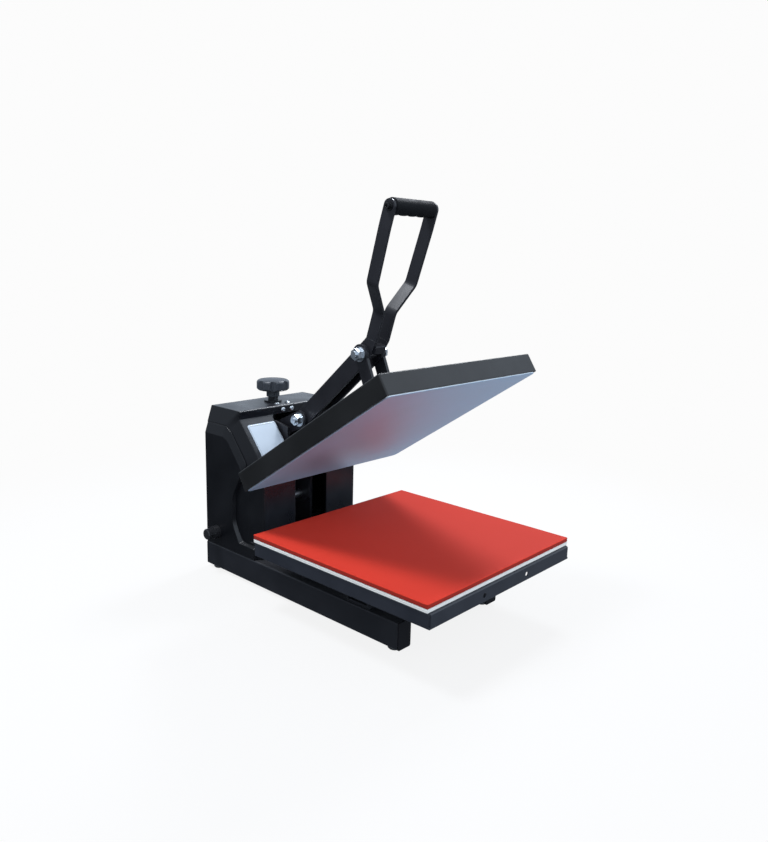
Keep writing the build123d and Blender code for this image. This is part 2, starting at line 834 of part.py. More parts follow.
def bar_point(along, out):
    """A point measured along the handle bars from their lower ends."""
    y, z = bar_root()
    c, s = cos(radians(bar_angle)), sin(radians(bar_angle))
    return y - along * c + out * s, z + along * s + out * c


def lever_channel():
    half = lever_height / 2
    corners = [
        (*lever_point(-half, -half), half * 0.99),
        (*lever_point(-half, half), half * 0.99),
        (*lever_point(lever_length + lever_tip_reach, half), 0),
        (*bar_point(0, bar_width / 2), 0),
        (*bar_point(0, -bar_width / 2), 0),
        (*lever_point(lever_length + lever_chin_reach, -half * 0.4), 4),
        (*lever_point(lever_length + lever_throat_reach, -half), 8),
    ]
    channel = side_slab(corners, -lever_half_width, lever_half_width)
    inside = lever_half_width - lever_sheet
    web_from, web_to = half + lever_web_margin, lever_length - lever_web_end
    web_out = half - lever_sheet
    trough = [
        (*lever_point(-2 * half, -2 * half), 0),
        (*lever_point(-2 * half, 2 * half), 0),
        (*lever_point(web_from, 2 * half), 0),
        (*lever_point(web_from, web_out), 0),
        (*lever_point(web_to, web_out), 0),
        (*lever_point(web_to, 2 * half), 0),
        (*lever_point(lever_length + 4 * half, 2 * half), 0),
        (*lever_point(lever_length + 4 * half, -2 * half), 0),
    ]
    channel -= side_slab(trough, -inside, inside)
    fit = pivot_bolt_radius + running_clearance
    channel -= rod_x(-lever_half_width, lever_half_width, lever_pivot_y, lever_pivot_z, fit)
    channel -= rod_x(-lever_half_width, lever_half_width, elbow_y, elbow_z, pivot_bolt_radius)
    return channel


def lever_bush():
    """Spacer tube between the lever's sides at its rear pivot."""
    inside = lever_half_width - lever_sheet
    tube = rod_x(-inside, inside, lever_pivot_y, lever_pivot_z, pivot_bolt_radius + sleeve_wall)
    return tube - rod_x(-inside, inside, lever_pivot_y, lever_pivot_z, pivot_bolt_radius + running_clearance)


def elbow_sleeve():
    inside = lever_half_width - lever_sheet
    shank = rod_x(-lever_half_width, lever_half_width, elbow_y, elbow_z, pivot_bolt_radius)
    return shank + rod_x(-inside, inside, elbow_y, elbow_z, pivot_bolt_radius + sleeve_wall)


def handle_cross_block():
    inside = lever_half_width - lever_sheet
    y, z = bar_point(-spacer_setback, -spacer_offset)
    tilt = Pos(0, y, z) * Rot(90 - bar_angle, 0, 0)
    spacer = Box(2 * inside, spacer_size, spacer_size)
    return tilt * fillet(spacer.edges().filter_by(Axis.X), spacer_corner)


def handle_bar():
    y, z = bar_root()
    c, s = cos(radians(bar_angle)), sin(radians(bar_angle))
    plane = Plane(origin=(0, y, z), x_dir=(1, 0, 0), z_dir=(0, -s, -c))
    low = lever_half_width - bar_thickness / 2
    path = FilletPolyline(
        (low, 0),
        (low, bar_bend_start),
        (bar_spread_low, bar_bend_end),
        (bar_spread, bar_splay_end),
        (bar_spread, bar_length + bar_width / 2),
        radius=[bar_bend_radius, bar_bend_radius, 10 * bar_bend_radius],
    )
    strip = trace(path, line_width=bar_thickness)
    bar = extrude(plane * strip, amount=bar_width / 2, both=True)
    tip_edges = bar.edges().filter_by(Axis.X).sort_by(Axis.Z)[-2:]
    bar = fillet(tip_edges, bar_width / 2 - 0.2)
    grip_y, grip_z = bar_point(bar_length, 0)
    return bar - rod_x(0, 2 * bar_spread, grip_y, grip_z, grip_rod_radius)


def handle_grip():
    """Rubber sleeve with four finger grooves on the side that faces the lever."""
    y, z = bar_point(bar_length, 0)
    half = bar_spread - bar_thickness / 2
    sleeve = rod_x(-half, half, y, z, grip_radius)
    sleeve = chamfer(sleeve.edges().filter_by(GeomType.CIRCLE), grip_end_chamfer)
    pitch = 2 * half / (grip_groove_count + 0.6)
    groove_y, groove_z = bar_point(bar_length - grip_radius - grip_groove_radius + grip_groove_depth, 0)
    across = (0, sin(radians(bar_angle)), cos(radians(bar_angle)))
    for finger in range(grip_groove_count):
        x = (finger - (grip_groove_count - 1) / 2) * pitch
        groove = Plane(origin=(x, groove_y, groove_z), z_dir=across)
        sleeve -= groove * Cylinder(grip_groove_radius, 3 * grip_radius)
    return sleeve - rod_x(-half, half, y, z, grip_rod_radius)


def grip_rod():
    y, z = bar_point(bar_length, 0)
    outer = bar_spread + bar_thickness / 2
    rod = rod_x(-outer, outer, y, z, grip_rod_radius)
    seat = outer + grip_washer_thickness
    tip = seat + grip_screw_height
    washer = rod_x(outer, seat, y, z, grip_washer_radius)
    head = rod_x(seat, tip, y, z, grip_screw_radius)
    head -= hex_x(tip - grip_screw_socket, tip, y, z, grip_screw_radius * 0.55)
    end = washer + head
    return rod + end + mirrored(end)


# Links from the elbow to the platen
def link():
    head = Pos(elbow_y, elbow_z) * Circle(link_head_radius)
    foot = Pos(link_foot_y, link_foot_z) * Circle(link_foot_radius)
    face = Plane.YZ * (head + foot)
    lean = radians(link_lean)
    across_y, across_z = cos(lean), -sin(lean)
    half = link_foot_radius
    shank = Plane.YZ * make_face(
        Polyline(
            (elbow_y + half * across_y, elbow_z + half * across_z),
            (link_foot_y + half * across_y, link_foot_z + half * across_z),
            (link_foot_y - half * across_y, link_foot_z - half * across_z),
            (elbow_y - half * across_y, elbow_z - half * across_z),
            close=True,
        )
    )
    plate = extrude(Pos(link_inner, 0, 0) * (face + shank), amount=link_thickness, dir=(1, 0, 0))
    plate -= rod_x(link_inner, link_outer, elbow_y, elbow_z, pivot_bolt_radius)
    plate -= rod_x(link_inner, link_outer, link_foot_y, link_foot_z, pivot_bolt_radius + running_clearance)
    return plate


def elbow_bolts():
    ends = pivot_fixings(link_outer, elbow_y, elbow_z)
    ends += rod_x(link_inner, link_outer, elbow_y, elbow_z, pivot_bolt_radius)
    return both_sides(ends)


# Upper platen, drawn closed
def platen_cover():
    half_x, half_y = platen_width / 2, platen_depth / 2
    outer = block(-half_x, half_x, -half_y, half_y, cover_bottom, cover_top)
    outer = fillet(outer.edges().group_by(Axis.Z)[-1] + outer.edges().filter_by(Axis.Z), cover_bend_radius)
    inner = block(-half_x + cover_sheet, half_x - cover_sheet, -half_y + cover_sheet, half_y - cover_sheet,
                  cover_bottom, cover_top - cover_sheet)
    cover = outer - fillet(inner.edges().filter_by(Axis.Z), cover_bend_radius - cover_sheet)
    for x, y in bracket_bolt_places():
        cover -= rod_z(cover_top - cover_sheet, cover_top, x, y, bracket_bolt_radius)
    return cover


def heating_plate():
    half_x, half_y = platen_width / 2 - plate_inset, platen_depth / 2 - plate_inset
    plate = block(-half_x, half_x, -half_y, half_y, hinge_z, hinge_z + plate_thickness)
    plate = fillet(plate.edges().filter_by(Axis.Z), plate_corner_radius)
    return chamfer(plate.edges().group_by(Axis.Z)[0], 0.8)


def element_points():
    """Centre line of the heating element: straight runs joined by half turns."""
    half_x = platen_width / 2 - element_side_margin
    half_y = platen_depth / 2 - element_end_margin
    pitch = 2 * half_y / (element_runs - 1)
    points = []
    for run in range(element_runs):
        y = -half_y + run * pitch
        ends = [(-half_x, y), (half_x, y)]
        points += ends if run % 2 == 0 else ends[::-1]
    return points, pitch


def between_runs(y):
    """The place midway between two runs of the element that is nearest to y."""
    points, pitch = element_points()
    first = points[0][1]
    return first + pitch * (round((y - first) / pitch - 0.5) + 0.5)


def heating_element():
    points, pitch = element_points()
    path = FilletPolyline(*points, radius=pitch * 0.3)
    strip = trace(path, line_width=element_size)
    return Pos(0, 0, hinge_z + plate_thickness) * extrude(strip, amount=element_size)


def insulation_blanket():
    half_x, half_y = platen_width / 2 - blanket_margin, platen_depth / 2 - blanket_margin
    bottom = hinge_z + plate_thickness + element_size
    blanket = block(-half_x, half_x, -half_y, half_y, bottom, cover_top - cover_sheet)
    for x, y in bracket_bolt_places():
        blanket -= rod_z(bottom, cover_top, x, y, stand_off_radius + side_clearance)
    return blanket


def bracket_bolt_places():
    x = bracket_outer + bracket_foot_width * 0.55
    rear = element_points()[0][-1][1] + element_size / 2 + stand_off_radius + bracket_bolt_radius
    places = (between_runs(ear_y - 2 * ear_radius), between_runs(ear_y + 4 * ear_radius), rear)
    return [(side * x, y) for side in (-1, 1) for y in places]


def platen_bolts():
    bolts = []
    plate_top = hinge_z + plate_thickness
    seat = cover_top + bracket_foot_thickness
    for x, y in bracket_bolt_places():
        shank = rod_z(plate_top, seat, x, y, bracket_bolt_radius)
        head = Pos(x, y, seat) * extrude(RegularPolygon(bracket_head_radius, 6), amount=bracket_head_height)
        stand_off = rod_z(plate_top, cover_top - cover_sheet, x, y, stand_off_radius)
        bolts.append(shank + head + stand_off)
    return group(bolts)


def platen_bracket():
    hub = axle_radius + bracket_hub_wall
    top = ear_z + bracket_back_rise
    rear_edge = platen_depth / 2
    toe = bracket_bolt_places()[0][1] - bracket_foot_end
    corners = [
        (toe, cover_top, 0),
        (toe + bracket_toe_length, cover_top + bracket_toe_rise, 6),
        (ear_y - 14, ear_z + ear_radius, 10),
        (ear_y + 14, ear_z + ear_radius, 10),
        (ear_y + bracket_back_reach, top, 20),
        (hinge_y - bracket_throat_reach, top + bracket_throat_rise, bracket_throat_radius),
        (hinge_y + tail_reach + 8, hinge_z + tail_rise + 9, 8),
        (hinge_y + tail_reach + 8, hinge_z + tail_rise - 9, 8),
        (hinge_y + 6, hinge_z - hub, 14),
        (hinge_y - 19, hinge_z - hub, 16),
        (rear_edge + bracket_neck_drop, cover_top, 22),
    ]
    plate = side_slab(corners, bracket_inner, bracket_outer)
    foot = block(bracket_outer, bracket_outer + bracket_foot_width, toe, rear_edge - blanket_margin,
                 cover_top, cover_top + bracket_foot_thickness)
    plate += foot
    plate -= rod_x(bracket_inner, bracket_outer, hinge_y, hinge_z, axle_radius + running_clearance)
    plate -= rod_x(bracket_inner, bracket_outer, ear_y, ear_z, pivot_bolt_radius)
    tail_y, tail_z = hinge_y + tail_reach, hinge_z + tail_rise
    plate -= rod_x(bracket_inner, bracket_outer, tail_y, tail_z, spring_pin_radius)
    for x, y in bracket_bolt_places():
        plate -= rod_z(cover_top, cover_top + bracket_foot_thickness, x, y, bracket_bolt_radius)
    return plate


def link_foot_bolt():
    nut = hex_x(bracket_outer, bracket_outer + nut_height, ear_y, ear_z, nut_radius)
    shank = rod_x(-bracket_outer, bracket_outer, ear_y, ear_z, pivot_bolt_radius)
    return shank + nut + mirrored(nut)


def spring_tail_pin():
    tail_y, tail_z = hinge_y + tail_reach, hinge_z + tail_rise
    return rod_x(-bracket_outer, bracket_outer, tail_y, tail_z, spring_pin_radius)


# Balance springs: close-wound coils between the tail pin and an anchor rod in the frame
def spring_places():
    tail_y, tail_z = turned(hinge_y + tail_reach, hinge_z + tail_rise, -open_angle)
    return tail_y, tail_z, base_plate_top + spring_anchor_rise


def balance_springs():
    tail_y, tail_z, anchor_z = spring_places()
    eye_inner = spring_pin_radius + side_clearance / 2
    eye_outer = eye_inner + 2 * spring_wire_radius
    eye = rod_x(-spring_wire_radius, spring_wire_radius, 0, 0, eye_outer)
    eye -= rod_x(-spring_wire_radius, spring_wire_radius, 0, 0, eye_inner)
    lap = spring_wire_radius / 2
    coil = rod_z(anchor_z + eye_outer - lap, tail_z - eye_outer + lap, 0, 0, spring_radius)
    spring = coil + Pos(0, 0, anchor_z) * eye + Pos(0, 0, tail_z) * eye
    return group([Pos(side * spring_spacing / 2, tail_y, 0) * spring for side in (-1, 1)])


def spring_anchor_rod():
    tail_y, _, anchor_z = spring_places()
    return rod_x(-frame_inner, frame_inner, tail_y, anchor_z, spring_pin_radius)


# Controller on the right half of the slope
def bezel_plane():
    slope = atan2(slope_drop, lip_set_back)
    y = lip_y - bezel_offset_down * cos(slope)
    z = lip_bottom - bezel_offset_down * sin(slope)
    return Plane(origin=(bezel_offset_x, y, z), x_dir=(1, 0, 0), z_dir=(0, -sin(slope), cos(slope)))


def controller_box(clearance):
    half_x = bezel_width / 2 - bezel_corner + clearance
    half_y = bezel_length / 2 - bezel_corner + clearance
    return -half_x, half_x, -half_y, half_y


def button_places():
    first = -(button_count - 1) / 2 * button_pitch
    row_y = -bezel_length / 2 + button_margin
    return [(first + button_pitch * index, row_y) for index in range(button_count)]


def controller_bezel():
    face = RectangleRounded(bezel_width, bezel_length, bezel_corner)
    bezel = extrude(face, amount=bezel_thickness)
    body = block(*controller_box(0), -controller_depth, 0)
    controller = bezel + body - window_pane()
    for x, y in button_places():
        well_bottom = bezel_thickness - button_height
        controller -= rod_z(well_bottom, bezel_thickness, x, y, button_radius + button_clearance)
    return bezel_plane() * controller


def window_pane():
    """The window's block in the bezel's plane."""
    top_y = bezel_length / 2 - window_margin
    return block(-window_width / 2, window_width / 2, top_y - window_length, top_y,
                 bezel_thickness - window_thickness, bezel_thickness)


def controller_window():
    return bezel_plane() * window_pane()


def controller_button(index):
    x, y = button_places()[index]
    foot = bezel_thickness - button_height + button_travel + button_lift
    button = rod_z(foot, foot + button_height, x, y, button_radius)
    return bezel_plane() * chamfer(button.edges().group_by(Axis.Z)[-1], button_chamfer)


# Power side: fuse holder on the left, inlet and switch at the rear, relay on the floor plate
def fuse_holder():
    """Round collar with a twelve-sided cap, seated on the left side panel."""
    y, z = housing_rear_y - fuse_setback, rail_top + fuse_rise
    collar_end = -panel_face - fuse_length * fuse_collar_share
    cap_end = -panel_face - fuse_length
    collar = rod_x(collar_end, -panel_face, y, z, fuse_radius)
    cap_plane = Plane(origin=(cap_end, y, z), z_dir=(1, 0, 0))
    cap_face = cap_plane * RegularPolygon(fuse_cap_radius, fuse_cap_sides)
    cap = extrude(cap_face, amount=collar_end - cap_end)
    cap = chamfer(cap.faces().sort_by(Axis.X)[0].edges(), fuse_cap_chamfer)
    return collar + cap


def power_inlet():
    """Flange with screw ears and an open well with three flat pins."""
    z = rail_top + rear_fitting_rise
    half_x, half_z = inlet_width / 2, inlet_height / 2
    flange_size = (inlet_width + 2 * inlet_ear_width, inlet_height + 2 * inlet_flange_margin)
    flange = Plane.XZ * RectangleRounded(*flange_size, inlet_flange_corner)
    flange = extrude(flange, amount=inlet_flange_thickness, dir=(0, 1, 0))
    body = block(-half_x, half_x, -inlet_depth, 0, -half_z, half_z)
    well_x, well_z = half_x - inlet_wall, half_z - inlet_wall
    well = block(-well_x, well_x, -inlet_well_depth, inlet_flange_thickness + overshoot, -well_z, well_z)
    left = (-inlet_pin_spacing, -inlet_line_drop)
    right = (inlet_pin_spacing, -inlet_line_drop)
    places = (left, (0, inlet_earth_rise), right)
    pin = block(-inlet_pin_width / 2, inlet_pin_width / 2, -inlet_well_depth - overshoot, -inlet_pin_setback,
                -inlet_pin_height / 2, inlet_pin_height / 2)
    pins = group([Pos(x, 0, rise) * pin for x, rise in places])
    return Pos(inlet_x, housing_rear_y, z) * (flange + body - well + pins)


def switch_frame():
    z = rail_top + rear_fitting_rise
    half_x, half_z = switch_width / 2, switch_height / 2
    outer_size = (switch_width + 2.5 * switch_flange_margin, switch_height + 2 * switch_flange_margin)
    outer = Plane.XZ * RectangleRounded(*outer_size, switch_flange_margin)
    frame = extrude(outer, amount=switch_flange_thickness, dir=(0, 1, 0))
    body = block(-half_x, half_x, -switch_depth, 0, -half_z, half_z)
    well_x, well_z = half_x - switch_wall, half_z - switch_wall
    well = block(-well_x, well_x, -switch_well_depth, switch_flange_thickness + overshoot, -well_z, well_z)
    return Pos(switch_x, housing_rear_y, z) * (frame + body - well)


def power_rocker():
    """Dished rocker that stands out at its lower end, with a round hub about its pivot."""
    z = rail_top + rear_fitting_rise
    half = switch_height / 2 - rocker_end_gap
    width = switch_width / 2 - switch_wall - button_clearance
    corners = [
        (-rocker_root_depth, -rocker_root_half, 2),
        (-rocker_root_depth, rocker_root_half, 2),
        (rocker_off_lift, half, 1),
        (rocker_waist_lift, 0, 12),
        (rocker_on_lift, -half, 1),
    ]
    hub = Pos(0, -rocker_pivot_depth, 0) * (Plane.YZ * Circle(rocker_hub_radius))
    rocker = extrude(Pos(-width, 0, 0) * (outline(corners) + hub), amount=2 * width, dir=(1, 0, 0))
    return Pos(switch_x, housing_rear_y, z) * rocker


def relay_module():
    """Finned block on the floor plate, right of the frame plates."""
    y = (housing_front_y + housing_rear_y) / 2 + relay_setback
    x = (frame_outer + cover_half_width) / 2
    front, rear = y - relay_depth / 2, y + relay_depth / 2
    top = base_plate_top + relay_height
    body = block(x - relay_width / 2, x + relay_width / 2, front, rear, base_plate_top, top)
    first = x - relay_width / 2 + relay_fin_margin
    pitch = (relay_width - 2 * relay_fin_margin) / (relay_fins - 1)
    for fin in range(relay_fins):
        left = first + pitch * fin - relay_groove_width / 2
        body -= block(left, left + relay_groove_width, front, rear, top - relay_groove_depth, top)
    return body


def build_nodes():
    """Every node of the press with its solids, in the drawing's own coordinates."""
    beam, spacers = cross_beam()
    axle, axle_nuts = hinge_axle()
    left_rail = base_rail()
    right_shell = side_shell()
    right_panel = side_panel()
    right_frame = frame_plate()
    right_bracket = platen_bracket()
    right_bar = handle_bar()
    right_link = link()
    nodes = {
        "base_rail_left": left_rail,
        "base_rail_right": mirrored(left_rail),
        "rail_end_caps": rail_end_caps(),
        "rubber_feet": rubber_feet(),
        "base_plate": base_plate(),
        "cross_beam": beam,
        "beam_spacers": spacers,
        "support_posts": support_posts(),
        "support_bolts": support_bolts(),
        "lower_platen_tray": lower_platen_tray(),
        "felt_underlay": sheet_layer(tray_top, underlay_top),
        "silicone_pad": sheet_layer(underlay_top, pad_top),
        "housing_cover": housing_cover(),
        "side_shell_left": mirrored(right_shell),
        "side_shell_right": right_shell,
        "side_panel_left": mirrored(right_panel),
        "side_panel_right": right_panel,
        "rear_cover": rear_cover(),
        "rear_cover_screws": rear_cover_screws(),
        "frame_plate_left": mirrored(right_frame),
        "frame_plate_right": right_frame,
        "thrust_bridge": thrust_bridge(),
        "hinge_axle": group([axle, axle_nuts]),
        "spring_anchor_rod": spring_anchor_rod(),
        "balance_springs": balance_springs(),
        "knob_boss": knob_boss(),
        "cover_screws": cover_screws(),
        "fuse_holder": fuse_holder(),
        "power_inlet": power_inlet(),
        "switch_frame": switch_frame(),
        "power_rocker": power_rocker(),
        "controller_bezel": controller_bezel(),
        "controller_window": controller_window(),
        "relay_module": relay_module(),
        "pressure_knob": pressure_knob(),
        "pressure_spindle": pressure_spindle(),
        "pressure_carriage": pressure_carriage(),
        "lever_pivot_bolt": lever_pivot_bolt(),
        "lever_channel": lever_channel(),
        "lever_sleeves": group([lever_bush(), elbow_sleeve()]),
        "handle_cross_block": handle_cross_block(),
        "handle_bar_left": mirrored(right_bar),
        "handle_bar_right": right_bar,
        "handle_grip": handle_grip(),
        "grip_rod": grip_rod(),
        "link_left": mirrored(right_link),
        "link_right": right_link,
        "elbow_bolts": elbow_bolts(),
        "platen_cover": open_up(platen_cover()),
        "heating_plate": open_up(heating_plate()),
        "heating_element": open_up(heating_element()),
        "insulation_blanket": open_up(insulation_blanket()),
        "platen_bracket_left": open_up(mirrored(right_bracket)),
        "platen_bracket_right": open_up(right_bracket),
        "platen_bolts": open_up(group([platen_bolts(), link_foot_bolt(), spring_tail_pin()])),
    }
    for index in range(button_count):
        nodes[f"controller_button_{index + 1}"] = controller_button(index)
    return nodes


def place_shift(nodes):
    """How far every piece moves along y so that the origin is under the middle of the press's depth."""
    boxes = [shape.bounding_box() for shape in nodes.values()]
    front = min(box.min.Y for box in boxes)
    rear = max(box.max.Y for box in boxes)
    return -(front + rear) / 2


def elbow_closed():
    """Where the elbow is with the press closed: lever and link lengths meet above the platen's ear."""
    dy, dz = ear_y - lever_pivot_y, ear_z - lever_pivot_z
    span = hypot(dy, dz)
    along = (lever_length**2 - link_length**2 + span**2) / (2 * span)
    across = sqrt(lever_length**2 - along**2)
    uy, uz = dy / span, dz / span
    return lever_pivot_y + along * uy + across * uz, lever_pivot_z + along * uz - across * uy


def lever_closing_turn():
    """Degrees that the lever turns about its rear pivot from open to closed."""
    y, z = elbow_closed()
    before = atan2(elbow_z - lever_pivot_z, elbow_y - lever_pivot_y)
    after = atan2(z - lever_pivot_z, y - lever_pivot_y)
    return degrees((after - before) % (2 * pi))


def link_closing_turn():
    """Degrees that the links turn from open to closed, seen from the frame."""
    y, z = elbow_closed()
    before = atan2(elbow_z - link_foot_z, elbow_y - link_foot_y)
    after = atan2(z - ear_z, y - ear_y)
    return degrees(after - before)


if __name__ == "__main__":
    os.makedirs("parts", exist_ok=True)
    press = build_nodes()
    shift = place_shift(press)
    for name, shape in press.items():
        placed = group([Pos(0, shift, 0) * solid for solid in shape.solids()])
        export_step(placed, f"parts/{name}.step")
    print("nodes", len(press))
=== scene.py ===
"""A clamshell flat heat press, dressed for the camera.

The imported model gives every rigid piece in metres. The sections below follow the press as it is put
together, from the rails up to the platen, and the last one photographs it.
"""

import json
import math

import bmesh
import bpy
from mathutils import Matrix, Vector
from mathutils.bvhtree import BVHTree


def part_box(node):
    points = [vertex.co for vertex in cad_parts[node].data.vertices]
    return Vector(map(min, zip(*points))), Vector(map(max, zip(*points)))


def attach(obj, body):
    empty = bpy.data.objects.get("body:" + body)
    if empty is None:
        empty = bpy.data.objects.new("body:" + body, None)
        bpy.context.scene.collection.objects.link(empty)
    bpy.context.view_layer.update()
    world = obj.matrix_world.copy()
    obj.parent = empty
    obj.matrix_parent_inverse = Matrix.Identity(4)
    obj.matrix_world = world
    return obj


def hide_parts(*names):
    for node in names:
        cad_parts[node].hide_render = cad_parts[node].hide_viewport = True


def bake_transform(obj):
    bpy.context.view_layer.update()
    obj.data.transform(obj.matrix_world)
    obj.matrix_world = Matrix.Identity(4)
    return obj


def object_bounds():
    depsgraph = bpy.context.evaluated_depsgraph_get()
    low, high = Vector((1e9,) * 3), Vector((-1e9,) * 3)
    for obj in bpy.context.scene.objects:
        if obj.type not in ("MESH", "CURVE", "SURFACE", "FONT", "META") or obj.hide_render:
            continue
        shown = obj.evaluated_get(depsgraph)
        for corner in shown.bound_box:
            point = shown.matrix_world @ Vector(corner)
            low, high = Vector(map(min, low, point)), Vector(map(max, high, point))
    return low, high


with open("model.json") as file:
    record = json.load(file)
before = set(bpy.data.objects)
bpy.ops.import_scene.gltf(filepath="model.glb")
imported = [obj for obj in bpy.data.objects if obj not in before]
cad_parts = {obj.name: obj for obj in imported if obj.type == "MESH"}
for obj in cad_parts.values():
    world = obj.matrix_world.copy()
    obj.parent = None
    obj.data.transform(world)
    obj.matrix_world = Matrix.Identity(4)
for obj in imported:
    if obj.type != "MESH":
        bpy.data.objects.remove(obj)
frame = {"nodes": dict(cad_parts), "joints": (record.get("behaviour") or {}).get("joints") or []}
cad_low, cad_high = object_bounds()

# Rails, cross beam and its spacers.
# Square steel tube and folded sheet, welded and powder coated near-black; the coat has a fine
# orange-peel skin, thins at the cut edges and holds a little dust on what faces up.
RAIL_NODES = ["base_rail_left", "base_rail_right", "cross_beam", "beam_spacers"]
PAINT_COLOUR = (0.012, 0.013, 0.017, 1.0)
PAINT_WORN_COLOUR = (0.11, 0.11, 0.12, 1.0)
DUST_COLOUR = (0.30, 0.29, 0.28, 1.0)
# Where a mask begins and where it is full: a cosine for edges and dust, and the noise's own value.
EDGE_TURN = (0.985, 0.80)
RUB_NOISE = (0.48, 0.66)
DUST_FACING = (0.55, 0.98)
DUST_NOISE = (0.35, 0.75)
DUST_DULLING = 0.5
TONE_NOISE = (0.25, 0.75)


def feed(tree, socket, value):
    """Sets a socket to a value, or links it to the socket that feeds it."""
    if isinstance(value, bpy.types.NodeSocket):
        tree.links.new(value, socket)
    else:
        socket.default_value = value


def add(tree, kind, inputs=None, **settings):
    """A node with its settings; each input is a value, or a socket that feeds it."""
    made = tree.nodes.new(kind)
    for name, value in settings.items():
        setattr(made, name, value)
    for name, value in (inputs or {}).items():
        feed(tree, made.inputs[name], value)
    return made


def reckon(tree, operation, *values):
    """The result of a math node on one to three values."""
    return add(tree, "ShaderNodeMath", dict(enumerate(values)), operation=operation).outputs[0]


def remap(tree, value, start, end, low=0.0, high=1.0, curve="LINEAR"):
    """A value taken from the span start to end into the span low to high, and held inside it."""
    return add(tree, "ShaderNodeMapRange", {"Value": value, "From Min": start, "From Max": end,
                                            "To Min": low, "To Max": high},
               interpolation_type=curve).outputs[0]


def align(tree, first, second):
    """The dot product of two directions."""
    return add(tree, "ShaderNodeVectorMath", {0: first, 1: second}, operation="DOT_PRODUCT").outputs["Value"]


def noise(tree, place, scale, detail, distortion=0.0):
    """Noise over a place, from 0 to 1."""
    return add(tree, "ShaderNodeTexNoise", {"Vector": place, "Scale": scale, "Detail": detail,
                                            "Distortion": distortion}).outputs["Fac"]


def raise_skin(tree, height, depth, strength=1.0, **below):
    """A normal raised by a height over a depth in metres, on the Normal below it if one is given."""
    return add(tree, "ShaderNodeBump", {"Height": height, "Strength": strength, "Distance": depth,
                                        **below}).outputs[0]


def new_group(name, inputs, outputs):
    """An empty shader group with float inputs and the given outputs."""
    tree = bpy.data.node_groups.new(name, "ShaderNodeTree")
    for label, value in inputs.items():
        socket = tree.interface.new_socket(label, in_out="INPUT", socket_type="NodeSocketFloat")
        socket.default_value = value
    for label, kind in outputs.items():
        tree.interface.new_socket(label, in_out="OUTPUT", socket_type=kind)
    return tree, tree.nodes.new("NodeGroupInput").outputs, tree.nodes.new("NodeGroupOutput").inputs


def surface_grain_group():
    """Fine skin of a coat or casting (Height), and its slow change of tone over a hand's width (Tone)."""
    tree, given, result = new_group("surface_grain", {"Grain Size": 0.001, "Patch Size": 0.06},
                                    {"Height": "NodeSocketFloat", "Tone": "NodeSocketFloat"})
    place = add(tree, "ShaderNodeTexCoord").outputs["Object"]
    for size, detail, label in (("Grain Size", 3.0, "Height"), ("Patch Size", 4.0, "Tone")):
        scale = reckon(tree, "DIVIDE", 1.0, given[size])
        tree.links.new(noise(tree, place, scale, detail), result[label])
    return tree


def worn_edge_group():
    """A softly rounded normal, and where that rounding shows an edge that hands and cloths have rubbed."""
    tree, given, result = new_group("worn_edge", {"Edge Radius": 0.0008, "Rub Size": 0.012, "Amount": 1.0},
                                    {"Normal": "NodeSocketVector", "Mask": "NodeSocketFloat"})
    rounded = add(tree, "ShaderNodeBevel", {"Radius": given["Edge Radius"]}, samples=6).outputs[0]
    level = align(tree, rounded, add(tree, "ShaderNodeNewGeometry").outputs["Normal"])
    place = add(tree, "ShaderNodeTexCoord").outputs["Object"]
    rub = noise(tree, place, reckon(tree, "DIVIDE", 1.0, given["Rub Size"]), 6.0)
    both = reckon(tree, "MULTIPLY", remap(tree, level, *EDGE_TURN), remap(tree, rub, *RUB_NOISE))
    tree.links.new(rounded, result["Normal"])
    tree.links.new(reckon(tree, "MULTIPLY", both, given["Amount"]), result["Mask"])
    return tree


def settled_dust_group():
    """Where dust has settled: on what faces up, in soft patches with a few specks."""
    tree, given, result = new_group("settled_dust", {"Patch Size": 0.05, "Amount": 0.1},
                                    {"Mask": "NodeSocketFloat"})
    coordinate = add(tree, "ShaderNodeTexCoord").outputs
    up = add(tree, "ShaderNodeSeparateXYZ", {0: coordinate["Normal"]}).outputs["Z"]
    patch = noise(tree, coordinate["Object"], reckon(tree, "DIVIDE", 1.0, given["Patch Size"]), 8.0)
    held = reckon(tree, "MULTIPLY", remap(tree, up, *DUST_FACING), remap(tree, patch, *DUST_NOISE))
    tree.links.new(reckon(tree, "MULTIPLY", held, given["Amount"]), result["Mask"])
    return tree


SURFACE_GRAIN = surface_grain_group()
WORN_EDGE = worn_edge_group()
SETTLED_DUST = settled_dust_group()


def grain_of(tree, grain_size, patch_size):
    """The outputs of a surface grain of the given sizes."""
    return add(tree, "ShaderNodeGroup", {"Grain Size": grain_size, "Patch Size": patch_size},
               node_tree=SURFACE_GRAIN).outputs


def blend_colour(tree, mask, first, second, mode="MIX"):
    """Two colours mixed by a mask."""
    mix = add(tree, "ShaderNodeMix", {"Factor": mask, 6: first, 7: second}, data_type="RGBA",
              blend_type=mode)
    return mix.outputs[2]


def toned(colour, share):
    """A colour made darker or lighter by a share."""
    return tuple(min(1.0, channel * share) for channel in colour[:3]) + (1.0,)


def new_material(name, **inputs):
    """A material, its tree and its shader's inputs, some of them set (Coat_Weight for Coat Weight)."""
    made = bpy.data.materials.new(name)
    made.use_nodes = True
    surface = made.node_tree.nodes["Principled BSDF"].inputs
    for label, value in inputs.items():
        surface[label.replace("_", " ")].default_value = value
    return made, made.node_tree, surface


